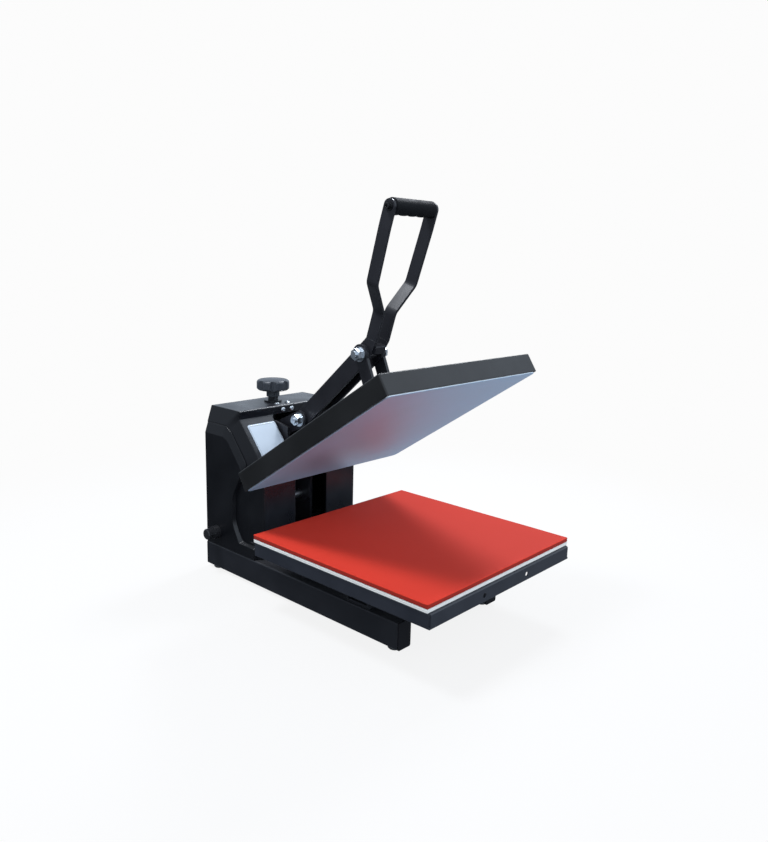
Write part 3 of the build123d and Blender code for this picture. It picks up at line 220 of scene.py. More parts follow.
def finish(name, colour, roughness, metallic=0.0, tone=0.25, rough_spread=0.10, grain_size=0.001,
           grain_depth=0.00002, patch_size=0.06, edge_radius=0.0008, worn_colour=None, wear=0.0, dust=0.0,
           gloss=0.5):
    """A rigid surface: its colour with a slow change of tone, its skin, its rubbed edges and its dust."""
    made, tree, surface = new_material(name, Metallic=metallic, Specular_IOR_Level=gloss)
    grain = grain_of(tree, grain_size, patch_size)
    edge = add(tree, "ShaderNodeGroup", {"Edge Radius": edge_radius, "Amount": wear},
               node_tree=WORN_EDGE).outputs
    settled = add(tree, "ShaderNodeGroup", {"Amount": dust}, node_tree=SETTLED_DUST).outputs["Mask"]
    lighter = toned(colour, 1 + tone)
    shade = blend_colour(tree, grain["Tone"], toned(colour, 1 - tone), lighter)
    rubbed = blend_colour(tree, edge["Mask"], shade, worn_colour or lighter)
    feed(tree, surface["Base Color"], blend_colour(tree, settled, rubbed, DUST_COLOUR))
    sheen = remap(tree, grain["Tone"], *TONE_NOISE, roughness - rough_spread, roughness + rough_spread)
    feed(tree, surface["Roughness"], reckon(tree, "MULTIPLY_ADD", settled, DUST_DULLING, sheen))
    feed(tree, surface["Normal"], raise_skin(tree, grain["Height"], grain_depth, Normal=edge["Normal"]))
    return made


def dress(names, material):
    """Gives CAD nodes their finished material."""
    for name in names:
        shape = frame["nodes"][name]
        shape.data.materials.clear()
        shape.data.materials.append(material)


rail_paint = finish("rail_paint", PAINT_COLOUR, 0.42, grain_size=0.0014, grain_depth=0.00003,
                    worn_colour=PAINT_WORN_COLOUR, wear=0.5, dust=0.10)
dress(RAIL_NODES, rail_paint)

# Rail end caps.
# Moulded polyethylene plugs pressed into the tube ends, with a dull pebbled skin.
cap_plastic = finish("cap_plastic", (0.007, 0.007, 0.009, 1.0), 0.50, grain_size=0.0007, grain_depth=0.00004,
                     worn_colour=(0.05, 0.05, 0.055, 1.0), wear=0.3, dust=0.03, gloss=0.12)
dress(["rail_end_caps"], cap_plastic)

# Rubber feet.
# Turned rubber buttons screwed under the rails, matt and slightly grey with age.
foot_rubber = finish("foot_rubber", (0.022, 0.022, 0.023, 1.0), 0.80, grain_size=0.0005,
                     grain_depth=0.00005, tone=0.35, dust=0.15)
dress(["rubber_feet"], foot_rubber)

# Floor plate, platen supports and inner fixings.
# Bright zinc plated steel: bolts, tubes and turned rods with a faint crystalline patchiness.
ZINC_NODES = ["base_plate", "support_posts", "support_bolts", "hinge_axle", "spring_anchor_rod",
              "lever_sleeves", "platen_bolts", "heating_element"]
zinc_plate = finish("zinc_plate", (0.52, 0.53, 0.56, 1.0), 0.34, metallic=1.0, tone=0.12, rough_spread=0.08,
                    grain_size=0.0009, grain_depth=0.000015, patch_size=0.012, edge_radius=0.0004,
                    worn_colour=(0.70, 0.70, 0.72, 1.0), wear=0.5, dust=0.06)
dress(ZINC_NODES, zinc_plate)

# Lower platen tray.
# One sheet of steel folded down on four sides, with two punched holes in front, powder coated.
tray_paint = finish("tray_paint", (0.022, 0.025, 0.034, 1.0), 0.40, grain_size=0.0014, grain_depth=0.00003,
                    worn_colour=PAINT_WORN_COLOUR, wear=0.6, dust=0.08)
dress(["lower_platen_tray"], tray_paint)

# Underlay and heat pad.
# A sheet of white needled felt and, on it, a sheet of red silicone sponge with a dull skin. Both are
# knife-cut to the platen and only laid on it, so their edges are soft and their tops not quite flat.
CUT_CORNER = 0.003
PAD_EDGE = 0.0016
PAD_PULL = 0.0006
PAD_WAVE = 0.00008
PRESSED_DEPTH = 0.0002
PRESSED_REACH = 0.15
PRESSED_MIDDLE_Y = -0.109
FELT_EDGE = 0.0022
FELT_PULL = 0.0009
FELT_WAVE = 0.00015
SHEET_STEPS = 70
# Angles round a sheet's edge, in degrees, at which its rows of points stand.
EDGE_ANGLES = (0, 25, 45, 65, 90)
FIBRE_LEAN = 0.35
FIBRE_CURL = 1.5
FIBRE_TONE_SHARE = 0.6
# Cosines from up over which a soft sheet's painted shade on its sides and underside fades in.
SIDE_SHADE_FACING = (0.2, 0.7)


def mesh_of(build, name):
    """Writes a built form out as a mesh."""
    mesh = bpy.data.meshes.new(name)
    build.to_mesh(mesh)
    build.free()
    return mesh


def new_piece(name, mesh):
    """A piece in the scene with the given mesh."""
    piece = bpy.data.objects.new(name, mesh)
    bpy.context.collection.objects.link(piece)
    return piece


def edge_steps(start, end, edge):
    """Positions across a sheet, close together over its rounded edges and even between them."""
    bends = [edge * (1 - math.cos(math.radians(angle))) for angle in EDGE_ANGLES]
    length = end - start - 2 * edge
    inner = [start + edge + length * step / SHEET_STEPS for step in range(1, SHEET_STEPS)]
    return [start + bend for bend in bends] + inner + [end - bend for bend in reversed(bends)]


def laid_sheet(name, low, high, corner, edge, pull, relief):
    """A soft sheet as a closed form: rounded edges, sides drawn in, and a top moved by relief(x, y)."""
    across = edge_steps(low.x, high.x, edge)
    along = edge_steps(low.y, high.y, edge)
    middle = (low + high) / 2
    half = (high - low) / 2

    def plan(x, y):
        """A point of the square grid, drawn in where the sheet's corners are round."""
        u = (abs(x - middle.x) - (half.x - corner)) / corner
        v = (abs(y - middle.y) - (half.y - corner)) / corner
        if u <= 0 or v <= 0:
            return x, y
        round_u = u * math.sqrt(1 - v * v / 2)
        round_v = v * math.sqrt(1 - u * u / 2)
        return (middle.x + math.copysign(half.x - corner + corner * round_u, x - middle.x),
                middle.y + math.copysign(half.y - corner + corner * round_v, y - middle.y))

    def fall(x, y):
        """How far the rounded edge falls from the face at a point."""
        reach = min(half.x - abs(x - middle.x), half.y - abs(y - middle.y))
        if reach >= edge:
            return 0.0
        return edge - math.sqrt(max(0.0, edge * edge - (edge - reach) ** 2))

    build = bmesh.new()
    columns, rows = len(across), len(along)
    top, bottom = [], []
    for y in along:
        for x in across:
            px, py = plan(x, y)
            top.append(build.verts.new((px, py, high.z - fall(x, y) + relief(x, y))))
            bottom.append(build.verts.new((px, py, low.z + fall(x, y))))
    for row in range(rows - 1):
        for column in range(columns - 1):
            a, b = row * columns + column, row * columns + column + 1
            c, d = b + columns, a + columns
            build.faces.new((top[a], top[b], top[c], top[d]))
            build.faces.new((bottom[d], bottom[c], bottom[b], bottom[a]))
    rim = list(range(columns))
    rim += [row * columns + columns - 1 for row in range(1, rows)]
    rim += [(rows - 1) * columns + column for column in range(columns - 2, -1, -1)]
    rim += [row * columns for row in range(rows - 2, 0, -1)]
    waist = []
    for index in rim:
        upper, lower = top[index].co, bottom[index].co
        inward = (Vector((middle.x, middle.y, 0)) - Vector((upper.x, upper.y, 0))).normalized()
        waist.append(build.verts.new((upper + lower) / 2 + inward * pull))
    for step, index in enumerate(rim):
        following = (step + 1) % len(rim)
        build.faces.new((top[rim[following]], top[index], waist[step], waist[following]))
        build.faces.new((waist[following], waist[step], bottom[index], bottom[rim[following]]))
    bmesh.ops.recalc_face_normals(build, faces=build.faces)
    mesh = mesh_of(build, name)
    mesh.shade_smooth()
    return new_piece(name, mesh)


def soft_material(name, colour, roughness, fibre_size, fibre_depth, stretch, tone, patch_size,
                  gloss=0.5, side_shade_share=1.0):
    """A soft sheet's surface: fine fibres or cells, a slow mottle from handling, and painted shade on its
    sides and underside.
    """
    made, tree, surface = new_material(name, Roughness=roughness, Specular_IOR_Level=gloss)
    coordinate = add(tree, "ShaderNodeTexCoord").outputs
    drawn = add(tree, "ShaderNodeMapping", {"Vector": coordinate["Object"], "Scale": stretch,
                                            "Rotation": (0, 0, FIBRE_LEAN)})
    fibre = noise(tree, drawn.outputs[0], 1 / fibre_size, 5.0, FIBRE_CURL)
    handled = grain_of(tree, fibre_size, patch_size)["Tone"]
    shade = blend_colour(tree, handled, toned(colour, 1 - tone), colour)
    mottled = blend_colour(tree, fibre, toned(colour, 1 - FIBRE_TONE_SHARE * tone), shade)
    # Painted shade: faces that turn away from up, the sheet's sides and underside, are darkened to a given
    # share of its colour.
    up = add(tree, "ShaderNodeSeparateXYZ", {0: coordinate["Normal"]}).outputs["Z"]
    level = remap(tree, up, *SIDE_SHADE_FACING, side_shade_share, 1.0)
    grey = add(tree, "ShaderNodeCombineColor", {0: level, 1: level, 2: level}).outputs[0]
    feed(tree, surface["Base Color"], blend_colour(tree, 1.0, mottled, grey, mode="MULTIPLY"))
    feed(tree, surface["Normal"], raise_skin(tree, fibre, fibre_depth))
    return made


def felt_waves(x, y):
    """The felt lies a little loose, in waves 20 to 27 cm long."""
    return -FELT_WAVE * (1 + math.sin(31 * x + 3 * y) * math.sin(23 * y + 1.3))


def pad_waves(x, y):
    """The silicone is pressed flatter in the middle, and lies in slight waves 15 to 17 cm long."""
    pressed = math.exp(-((x / PRESSED_REACH) ** 2 + ((y - PRESSED_MIDDLE_Y) / PRESSED_REACH) ** 2))
    return -PRESSED_DEPTH * pressed - PAD_WAVE * (1 + math.sin(41 * x) * math.sin(37 * y))


felt = laid_sheet("felt_sheet", *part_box("felt_underlay"), CUT_CORNER, FELT_EDGE, FELT_PULL, felt_waves)
felt.data.materials.append(soft_material(
    "needled_felt", (0.84, 0.82, 0.76, 1.0), roughness=0.95, fibre_size=0.0011, fibre_depth=0.00022,
    stretch=(1.0, 0.35, 1.6), tone=0.10, patch_size=0.05))
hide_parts("felt_underlay")
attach(felt, "frame")

pad = laid_sheet("heat_pad", *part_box("silicone_pad"), CUT_CORNER, PAD_EDGE, PAD_PULL, pad_waves)
# The silicone's sides and underside carry painted shade, darkened to 0.45 of its red.
pad.data.materials.append(soft_material(
    "silicone_sponge", (0.75, 0.046, 0.024, 1.0), roughness=0.72, fibre_size=0.0016, fibre_depth=0.00006,
    stretch=(1.0, 1.0, 1.0), tone=0.10, patch_size=0.09, gloss=0.16, side_shade_share=0.45))
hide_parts("silicone_pad")
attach(pad, "frame")

# Frame plates, thrust bridge, brackets, links, lever and handle bars.
# Laser cut and folded plate, powder coated; the cut edges are crisper than the folded housing's.
PLATE_NODES = ["frame_plate_left", "frame_plate_right", "thrust_bridge", "pressure_carriage",
               "platen_bracket_left", "platen_bracket_right", "link_left", "link_right", "lever_channel",
               "handle_cross_block", "handle_bar_left", "handle_bar_right"]
plate_paint = finish("plate_paint", (0.016, 0.016, 0.020, 1.0), 0.42, grain_size=0.0013,
                     grain_depth=0.00003, edge_radius=0.0010, worn_colour=(0.12, 0.12, 0.13, 1.0), wear=0.6,
                     dust=0.04, gloss=0.35)
dress(PLATE_NODES, plate_paint)

# Balance springs.
# Two close-wound extension springs of 3.5 mm wire, hooked on a rod in the frame and on the pin at the
# platen brackets' tails, which they pull down. On the press they stretch as the platen closes; here they are
# built at one length.
SPRING_WIRE = 0.00175
SPRING_TURNS = 9
PIN_RADIUS = 0.004
HOOK_PLAY = 0.0003
COIL_STEPS = 20
HOOK_STEPS = 24
WIRE_STEPS = 10
MERGE_DISTANCE = 0.00001
SOCKET_KINDS = {float: "NodeSocketFloat", int: "NodeSocketInt", tuple: "NodeSocketVector"}


def shape_tree(name, inputs):
    """An empty geometry tree with its named inputs and a finish."""
    tree = bpy.data.node_groups.new(name, "GeometryNodeTree")
    for label, value in inputs.items():
        socket = tree.interface.new_socket(label, in_out="INPUT", socket_type=SOCKET_KINDS[type(value)])
        socket.default_value = value
    tree.interface.new_socket("Finish", in_out="INPUT", socket_type="NodeSocketMaterial")
    tree.interface.new_socket("Geometry", in_out="OUTPUT", socket_type="NodeSocketGeometry")
    return tree, tree.nodes.new("NodeGroupInput").outputs


def give_shape(tree, shape, material):
    """Ends a geometry tree with the shape's real faces in its finish."""
    real = add(tree, "GeometryNodeRealizeInstances", {"Geometry": shape}).outputs[0]
    named = add(tree, "GeometryNodeSetMaterial", {"Geometry": real, "Material": material}).outputs[0]
    tree.links.new(named, tree.nodes.new("NodeGroupOutput").inputs[0])


def moved(tree, shape, **placing):
    """A shape moved by Translation or Rotation."""
    return add(tree, "GeometryNodeTransform", {"Geometry": shape, **placing}).outputs[0]


def evaluated_mesh(piece):
    """A piece's mesh with its modifiers applied."""
    bpy.context.view_layer.update()
    return bpy.data.meshes.new_from_object(piece.evaluated_get(bpy.context.evaluated_depsgraph_get()))


def grown_piece(name, tree, values):
    """Runs a geometry tree with the given inputs and keeps its result as a plain mesh."""
    carrier = new_piece(name, bpy.data.meshes.new(name + "_seed"))
    modifier = carrier.modifiers.new("Build", "NODES")
    modifier.node_group = tree
    for item in tree.interface.items_tree:
        if item.in_out == "INPUT" and item.name in values:
            modifier[item.identifier] = values[item.name]
    mesh = evaluated_mesh(carrier)
    carrier.modifiers.remove(modifier)
    carrier.data = mesh
    mesh.name = name
    merged = bmesh.new()
    merged.from_mesh(mesh)
    bmesh.ops.remove_doubles(merged, verts=merged.verts, dist=MERGE_DISTANCE)
    bmesh.ops.recalc_face_normals(merged, faces=merged.faces)
    merged.to_mesh(mesh)
    merged.free()
    return carrier


def spring_tree():
    """A coil with a hook at each end, from its foot up; all turns on one round wire."""
    tree, given = shape_tree("coil_spring", {
        "Foot": (0.0, 0.0, 0.0), "Length": 0.05, "Coil Radius": 0.008, "Hook Radius": 0.006,
        "Wire Radius": SPRING_WIRE, "Turns": float(SPRING_TURNS)})
    body = reckon(tree, "SUBTRACT", given["Length"], reckon(tree, "MULTIPLY", given["Hook Radius"], 2.0))
    coil = add(tree, "GeometryNodeCurveSpiral", {"Resolution": COIL_STEPS, "Rotations": given["Turns"],
                                                 "Start Radius": given["Coil Radius"],
                                                 "End Radius": given["Coil Radius"], "Height": body})
    lift = add(tree, "ShaderNodeCombineXYZ", {"Z": given["Hook Radius"]}).outputs[0]
    top = add(tree, "ShaderNodeCombineXYZ", {"Z": given["Length"]}).outputs[0]
    parts = [moved(tree, coil.outputs[0], Translation=lift)]
    for centre in ((0.0, 0.0, 0.0), top):
        hook = add(tree, "GeometryNodeCurvePrimitiveCircle", {"Resolution": HOOK_STEPS,
                                                              "Radius": given["Hook Radius"]})
        parts.append(moved(tree, hook.outputs[0], Rotation=(0, math.pi / 2, 0), Translation=centre))
    joined = add(tree, "GeometryNodeJoinGeometry")
    for part in reversed(parts):
        tree.links.new(part, joined.inputs[0])
    section = add(tree, "GeometryNodeCurvePrimitiveCircle", {"Resolution": WIRE_STEPS,
                                                             "Radius": given["Wire Radius"]})
    wire = add(tree, "GeometryNodeCurveToMesh", {"Curve": joined.outputs[0],
                                                 "Profile Curve": section.outputs[0], "Fill Caps": True})
    placed = moved(tree, wire.outputs[0], Translation=given["Foot"])
    smooth = add(tree, "GeometryNodeSetShadeSmooth", {"Geometry": placed})
    give_shape(tree, smooth.outputs[0], given["Finish"])
    return tree


spring_steel = finish("spring_steel", (0.36, 0.36, 0.37, 1.0), 0.30, metallic=1.0, tone=0.2,
                      grain_size=0.0004, grain_depth=0.00001, patch_size=0.006, edge_radius=0.0002)
spring_low, spring_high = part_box("balance_springs")
hook_radius = PIN_RADIUS + SPRING_WIRE + HOOK_PLAY
spring_middle_y = (spring_low.y + spring_high.y) / 2
coil_radius = (spring_high.y - spring_low.y) / 2 - SPRING_WIRE
spring_foot_z = spring_low.z + hook_radius + SPRING_WIRE
spring_top_z = spring_high.z - hook_radius - SPRING_WIRE
spring_x = spring_high.x - (spring_high.y - spring_low.y) / 2
coil_tree = spring_tree()
for side, side_name in ((-1, "left"), (1, "right")):
    spring = grown_piece(f"balance_spring_{side_name}", coil_tree, {
        "Foot": (side * spring_x, spring_middle_y, spring_foot_z),
        "Length": spring_top_z - spring_foot_z,
        "Coil Radius": coil_radius,
        "Hook Radius": hook_radius,
        "Finish": spring_steel,
    })
    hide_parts("balance_springs")
    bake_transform(spring)

# Housing front, rear cover and their louvres.
# Folded 2 mm sheet, powder coated a satin black; its bends are wide and catch the light.
housing_paint = finish("housing_paint", (0.009, 0.010, 0.014, 1.0), 0.29, grain_size=0.0015,
                       grain_depth=0.00003, edge_radius=0.0015, worn_colour=PAINT_WORN_COLOUR, wear=0.04,
                       dust=0.05)
dress(["housing_cover", "rear_cover"], housing_paint)

# Label plate.
# A pale self-adhesive film left of the slot, laid over the slope and its bend, with round corners and
# a fine printed frame. It is bare here.
LABEL_LEFT = -0.1045
LABEL_RIGHT = -0.0400
LABEL_WIDTH = LABEL_RIGHT - LABEL_LEFT
LABEL_TOP_DROP = 0.026
LABEL_HEIGHT = 0.085
LABEL_CORNER = 0.004
LABEL_COLUMNS = 24
LABEL_ROWS = 60
LABEL_FILM = 0.0003
LABEL_FRAME_INSET = 0.0025
LABEL_FRAME_WIDTH = 0.0006
FILM_DARK = (0.48, 0.55, 0.63, 1.0)
FILM_LIGHT = (0.56, 0.64, 0.72, 1.0)
FILM_GRAIN = 0.0008
FILM_GRAIN_DEPTH = 0.00001
FILM_CLOUD = 0.03
FRAME_GREY = (0.30, 0.32, 0.34, 1.0)


def surface_of(name):
    """A CAD node's surface, to lay things on."""
    mesh = frame["nodes"][name].data
    corners = [vertex.co.copy() for vertex in mesh.vertices]
    return BVHTree.FromPolygons(corners, [tuple(face.vertices) for face in mesh.polygons])


def label_mesh():
    """The film as a grid laid on the cover, its corners rounded in plan."""
    cover = surface_of("housing_cover")
    cover_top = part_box("housing_cover")[1].z
    build = bmesh.new()
    uv_layer = build.loops.layers.uv.new("film")
    grid = []
    for row in range(LABEL_ROWS + 1):
        for column in range(LABEL_COLUMNS + 1):
            u = LABEL_WIDTH * column / LABEL_COLUMNS
            v = LABEL_HEIGHT * row / LABEL_ROWS
            du = max(LABEL_CORNER - u, u - (LABEL_WIDTH - LABEL_CORNER), 0)
            dv = max(LABEL_CORNER - v, v - (LABEL_HEIGHT - LABEL_CORNER), 0)
            if du > 0 and dv > 0:
                share = max(du, dv) / math.hypot(du, dv)
                u += (1 - share) * du * (1 if u < LABEL_WIDTH / 2 else -1)
                v += (1 - share) * dv * (1 if v < LABEL_HEIGHT / 2 else -1)
            start = Vector((LABEL_LEFT + u, cad_low.y, cover_top - LABEL_TOP_DROP - v))
            hit, normal, _, _ = cover.ray_cast(start, Vector((0, 1, 0)))
            grid.append((build.verts.new(hit + Vector(normal) * LABEL_FILM), (u, v)))
    for row in range(LABEL_ROWS):
        for column in range(LABEL_COLUMNS):
            a = row * (LABEL_COLUMNS + 1) + column
            below = a + LABEL_COLUMNS + 1
            ring = [grid[a], grid[below], grid[below + 1], grid[a + 1]]
            face = build.faces.new([corner for corner, _ in ring])
            for loop, (_, place) in zip(face.loops, ring):
                loop[uv_layer].uv = place
    made = mesh_of(build, "label_film")
    made.shade_smooth()
    return made


def label_material():
    """White film with a grey frame line near its edge, and the faint cloud of wiped adhesive."""
    made, tree, surface = new_material("label_film", Roughness=0.35, Coat_Weight=0.3)
    across = add(tree, "ShaderNodeSeparateXYZ",
                 {0: add(tree, "ShaderNodeUVMap", uv_map="film").outputs[0]}).outputs
    reach = []
    for axis, size in (("X", LABEL_WIDTH), ("Y", LABEL_HEIGHT)):
        away = reckon(tree, "ABSOLUTE", reckon(tree, "SUBTRACT", across[axis], size / 2))
        reach.append(reckon(tree, "SUBTRACT", size / 2, away))
    nearest = reckon(tree, "MINIMUM", *reach)
    line = reckon(tree, "COMPARE", nearest, LABEL_FRAME_INSET, LABEL_FRAME_WIDTH / 2)
    grain = grain_of(tree, FILM_GRAIN, FILM_CLOUD)
    film = blend_colour(tree, grain["Tone"], FILM_DARK, FILM_LIGHT)
    feed(tree, surface["Base Color"], blend_colour(tree, line, film, FRAME_GREY))
    feed(tree, surface["Normal"], raise_skin(tree, grain["Height"], FILM_GRAIN_DEPTH))
    return made


label = new_piece("label_plate", label_mesh())
label.data.materials.append(label_material())
film = label.modifiers.new("Film", "SOLIDIFY")
film.thickness = LABEL_FILM
film.offset = -1.0
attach(label, "frame")

# Side mouldings.
# Injection moulded ABS shells and raised panels with a fine spark-eroded texture.
moulding = finish("moulding", (0.0045, 0.005, 0.007, 1.0), 0.38, grain_size=0.0008, grain_depth=0.00003,
                  edge_radius=0.0016, worn_colour=(0.07, 0.07, 0.08, 1.0), wear=0.12, dust=0.04, gloss=0.38)
dress(["side_shell_left", "side_shell_right", "side_panel_left", "side_panel_right"], moulding)

# Bright fixings.
# Nickel plated button screws in the cover, and the pivot bolts, washers and nuts of the linkage.
bright_plate = finish("bright_plate", (0.66, 0.70, 0.74, 1.0), 0.33, metallic=1.0, tone=0.08,
                      rough_spread=0.05, grain_size=0.0008, grain_depth=0.000004, patch_size=0.006,
                      edge_radius=0.0002)
dress(["cover_screws", "lever_pivot_bolt", "elbow_bolts"], bright_plate)

# Rear cover screws.
# Six zinc plated pan heads with a cross recess, which hold the rear cover to the shells.
SCREW_RADIUS = 0.004
SCREW_RISE = 0.0019
HEAD_STEPS = 24
HEAD_PROFILE = ((1.0, 0.0), (1.0, 0.45), (0.93, 0.72), (0.75, 0.92), (0.45, 1.0))
RECESS_LENGTH = 0.0046
RECESS_WIDTH = 0.0009
RECESS_DEPTH = 0.0011


def pan_head():
    """One pan head on +Y: a domed disc with a cross cut into it."""
    build = bmesh.new()
    rings = []
    for share, rise in HEAD_PROFILE:
        ring = []
        for step in range(HEAD_STEPS):
            turn = math.tau * step / HEAD_STEPS
            ring.append(build.verts.new((SCREW_RADIUS * share * math.cos(turn), SCREW_RISE * rise,
                                         SCREW_RADIUS * share * math.sin(turn))))
        rings.append(ring)
    for lower, upper in zip(rings, rings[1:]):
        for step in range(HEAD_STEPS):
            after = (step + 1) % HEAD_STEPS
            build.faces.new((lower[step], lower[after], upper[after], upper[step]))
    build.faces.new(rings[-1])
    build.faces.new(list(reversed(rings[0])))
    bmesh.ops.recalc_face_normals(build, faces=build.faces)
    head = new_piece("pan_head", mesh_of(build, "pan_head"))
    for turn in (0.0, math.pi / 2):
        cut = bmesh.new()
        bmesh.ops.create_cube(cut, size=1.0)
        cutter = new_piece("recess", mesh_of(cut, "recess"))
        cutter.data.transform(Matrix.Translation((0, SCREW_RISE, 0)) @ Matrix.Rotation(turn, 4, "Y")
                              @ Matrix.Diagonal((RECESS_LENGTH, 2 * RECESS_DEPTH, RECESS_WIDTH, 1)))
        carve = head.modifiers.new("Recess", "BOOLEAN")
        carve.operation = "DIFFERENCE"
        carve.solver = "EXACT"
        carve.object = cutter
        carved = evaluated_mesh(head)
        head.modifiers.remove(carve)
        head.data = carved
        bpy.data.objects.remove(cutter)
    return head


def screw_tree(head):
    """The head set at the corners and middles of a tall rectangle, each turned its own way."""
    tree, given = shape_tree("cover_screw_rows", {"Centre": (0.0, 0.0, 0.0), "Across": 0.2,
                                                  "Upright": 0.24, "Seed": 3})
    places = add(tree, "GeometryNodeMeshGrid", {"Size X": given["Across"], "Size Y": given["Upright"],
                                                "Vertices X": 2, "Vertices Y": 3})
    stood = moved(tree, places.outputs[0], Rotation=(math.pi / 2, 0, 0), Translation=given["Centre"])
    turn = add(tree, "FunctionNodeRandomValue", {"Seed": given["Seed"]}, data_type="FLOAT")
    way = add(tree, "ShaderNodeCombineXYZ", {"Y": reckon(tree, "MULTIPLY", turn.outputs[1], math.pi)})
    source = add(tree, "GeometryNodeObjectInfo", {"Object": head})
    set_in = add(tree, "GeometryNodeInstanceOnPoints", {"Points": stood,
                                                        "Instance": source.outputs["Geometry"],
                                                        "Rotation": way.outputs[0]})
    give_shape(tree, set_in.outputs[0], given["Finish"])
    return tree


screw_low, screw_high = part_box("rear_cover_screws")
head = pan_head()
screw_middle = (screw_low + screw_high) / 2
rear_screws = grown_piece("rear_cover_pan_heads", screw_tree(head), {
    "Centre": (screw_middle.x, screw_low.y, screw_middle.z),
    "Across": screw_high.x - screw_low.x - 2 * SCREW_RADIUS,
    "Upright": screw_high.z - screw_low.z - 2 * SCREW_RADIUS,
    "Finish": zinc_plate,
})
bpy.data.objects.remove(head)
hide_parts("rear_cover_screws")
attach(rear_screws, "frame")

# Spindle boss, spindle and the grip's rod.
# Turned steel, blackened and oiled, so it shines only faintly.
black_oxide = finish("black_oxide", (0.030, 0.031, 0.034, 1.0), 0.34, metallic=0.7, tone=0.2,
                     grain_size=0.0007, grain_depth=0.00001, patch_size=0.01, edge_radius=0.0004,
                     worn_colour=(0.20, 0.20, 0.20, 1.0), wear=0.5)
dress(["knob_boss", "pressure_spindle", "grip_rod"], black_oxide)

# Pressure knob.
# Phenolic moulding with a polished crown and scalloped sides, pressed on the spindle.
knob_plastic = finish("knob_plastic", (0.042, 0.047, 0.056, 1.0), 0.36, grain_size=0.0010,
                      grain_depth=0.000015, edge_radius=0.0014, worn_colour=(0.08, 0.08, 0.09, 1.0),
                      wear=0.3, dust=0.03)
dress(["pressure_knob"], knob_plastic)

# Fuse holder, mains inlet, switch and relay.
# Glossy black polyamide fittings; the rocker carries the usual on and off strokes, printed white.
MARK_WIDTH = 0.0009
MARK_REACH = 0.0016
MARK_RISE = 0.00008
MARK_RAY_START = 0.01
OFF_RING_STEPS = 20
OFF_RING_SHARE = 0.7
fitting_plastic = finish("fitting_plastic", (0.018, 0.018, 0.020, 1.0), 0.32, grain_size=0.0006,
                         grain_depth=0.00002, edge_radius=0.0004)
dress(["fuse_holder", "power_inlet", "switch_frame", "power_rocker", "relay_module"], fitting_plastic)
print_white = finish("print_white", (0.78, 0.78, 0.76, 1.0), 0.50, tone=0.06, grain_size=0.0003,
                     grain_depth=0.00001, edge_radius=0.0001)
rocker_low, rocker_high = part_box("power_rocker")
rocker_middle_x = (rocker_low.x + rocker_high.x) / 2
rocker_middle_z = (rocker_low.z + rocker_high.z) / 2
rocker_quarter = (rocker_high.z - rocker_low.z) / 4


def rocker_mark(name, outline, place_z):
    """A printed mark laid on the rocker's face round a given height."""
    rocker = surface_of("power_rocker")
    build = bmesh.new()
    for ring in outline:
        corners = []
        for x, z in ring:
            start = Vector((rocker_middle_x + x, rocker_high.y + MARK_RAY_START, place_z + z))
            hit, normal, _, _ = rocker.ray_cast(start, Vector((0, -1, 0)))
            corners.append(build.verts.new(hit + Vector(normal) * MARK_RISE))
        build.faces.new(corners)
    mark = new_piece(name, mesh_of(build, name))
    mark.data.materials.append(print_white)
    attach(mark, "rocker")


stroke = [(-MARK_WIDTH / 2, -MARK_REACH), (MARK_WIDTH / 2, -MARK_REACH), (MARK_WIDTH / 2, MARK_REACH),
          (-MARK_WIDTH / 2, MARK_REACH)]
inner = MARK_REACH - MARK_WIDTH * OFF_RING_SHARE
ring_marks = []
for step in range(OFF_RING_STEPS):
    a, b = math.tau * step / OFF_RING_STEPS, math.tau * (step + 1) / OFF_RING_STEPS
    ring_marks.append([(reach * math.cos(turn), reach * math.sin(turn))
                       for reach, turn in ((MARK_REACH, a), (inner, a), (inner, b), (MARK_REACH, b))])
rocker_mark("rocker_on_mark", [stroke], rocker_middle_z + rocker_quarter)
rocker_mark("rocker_off_mark", ring_marks, rocker_middle_z - rocker_quarter)

# Controller.
# A matt bezel with a smoked window over an unlit three-figure display, and four grey keys.
SEGMENT_LENGTH = 0.0052
SEGMENT_WIDTH = 0.0009
SEGMENT_RISE = 0.00006
FIGURE_RAY_START = 0.02
SEGMENT_SPACING_SHARE = 0.35
SEGMENT_TRIM_SHARE = 0.6
FIGURE_PITCH = 0.0105
FIGURE_LEAN = 0.12
bezel_plastic = finish("bezel_plastic", (0.026, 0.027, 0.030, 1.0), 0.50, grain_size=0.0007,
                       grain_depth=0.00003, edge_radius=0.0006)
dress(["controller_bezel"], bezel_plastic)
window_plastic = finish("window_plastic", (0.012, 0.016, 0.018, 1.0), 0.10, tone=0.15, rough_spread=0.03,
                        grain_size=0.002, grain_depth=0.000004, edge_radius=0.0003)
dress(["controller_window"], window_plastic)
key_plastic = finish("key_plastic", (0.34, 0.35, 0.37, 1.0), 0.38, tone=0.08, grain_size=0.0005,
                     grain_depth=0.000015, edge_radius=0.0004, worn_colour=(0.5, 0.5, 0.5, 1.0), wear=0.4)
dress([f"controller_button_{number}" for number in range(1, 5)], key_plastic)
segment_tint = finish("unlit_segment", (0.050, 0.055, 0.055, 1.0), 0.25, tone=0.1, grain_size=0.0005,
                      grain_depth=0.000005, edge_radius=0.0001)


def segment_ring(start, end, width):
    """A six-cornered stroke between two points in the display's plane."""
    along = (end - start).normalized()
    side = Vector((-along.y, along.x))
    tip = along * width / 2
    return [start, start + tip + side * width / 2, end - tip + side * width / 2, end,
            end - tip - side * width / 2, start + tip - side * width / 2]


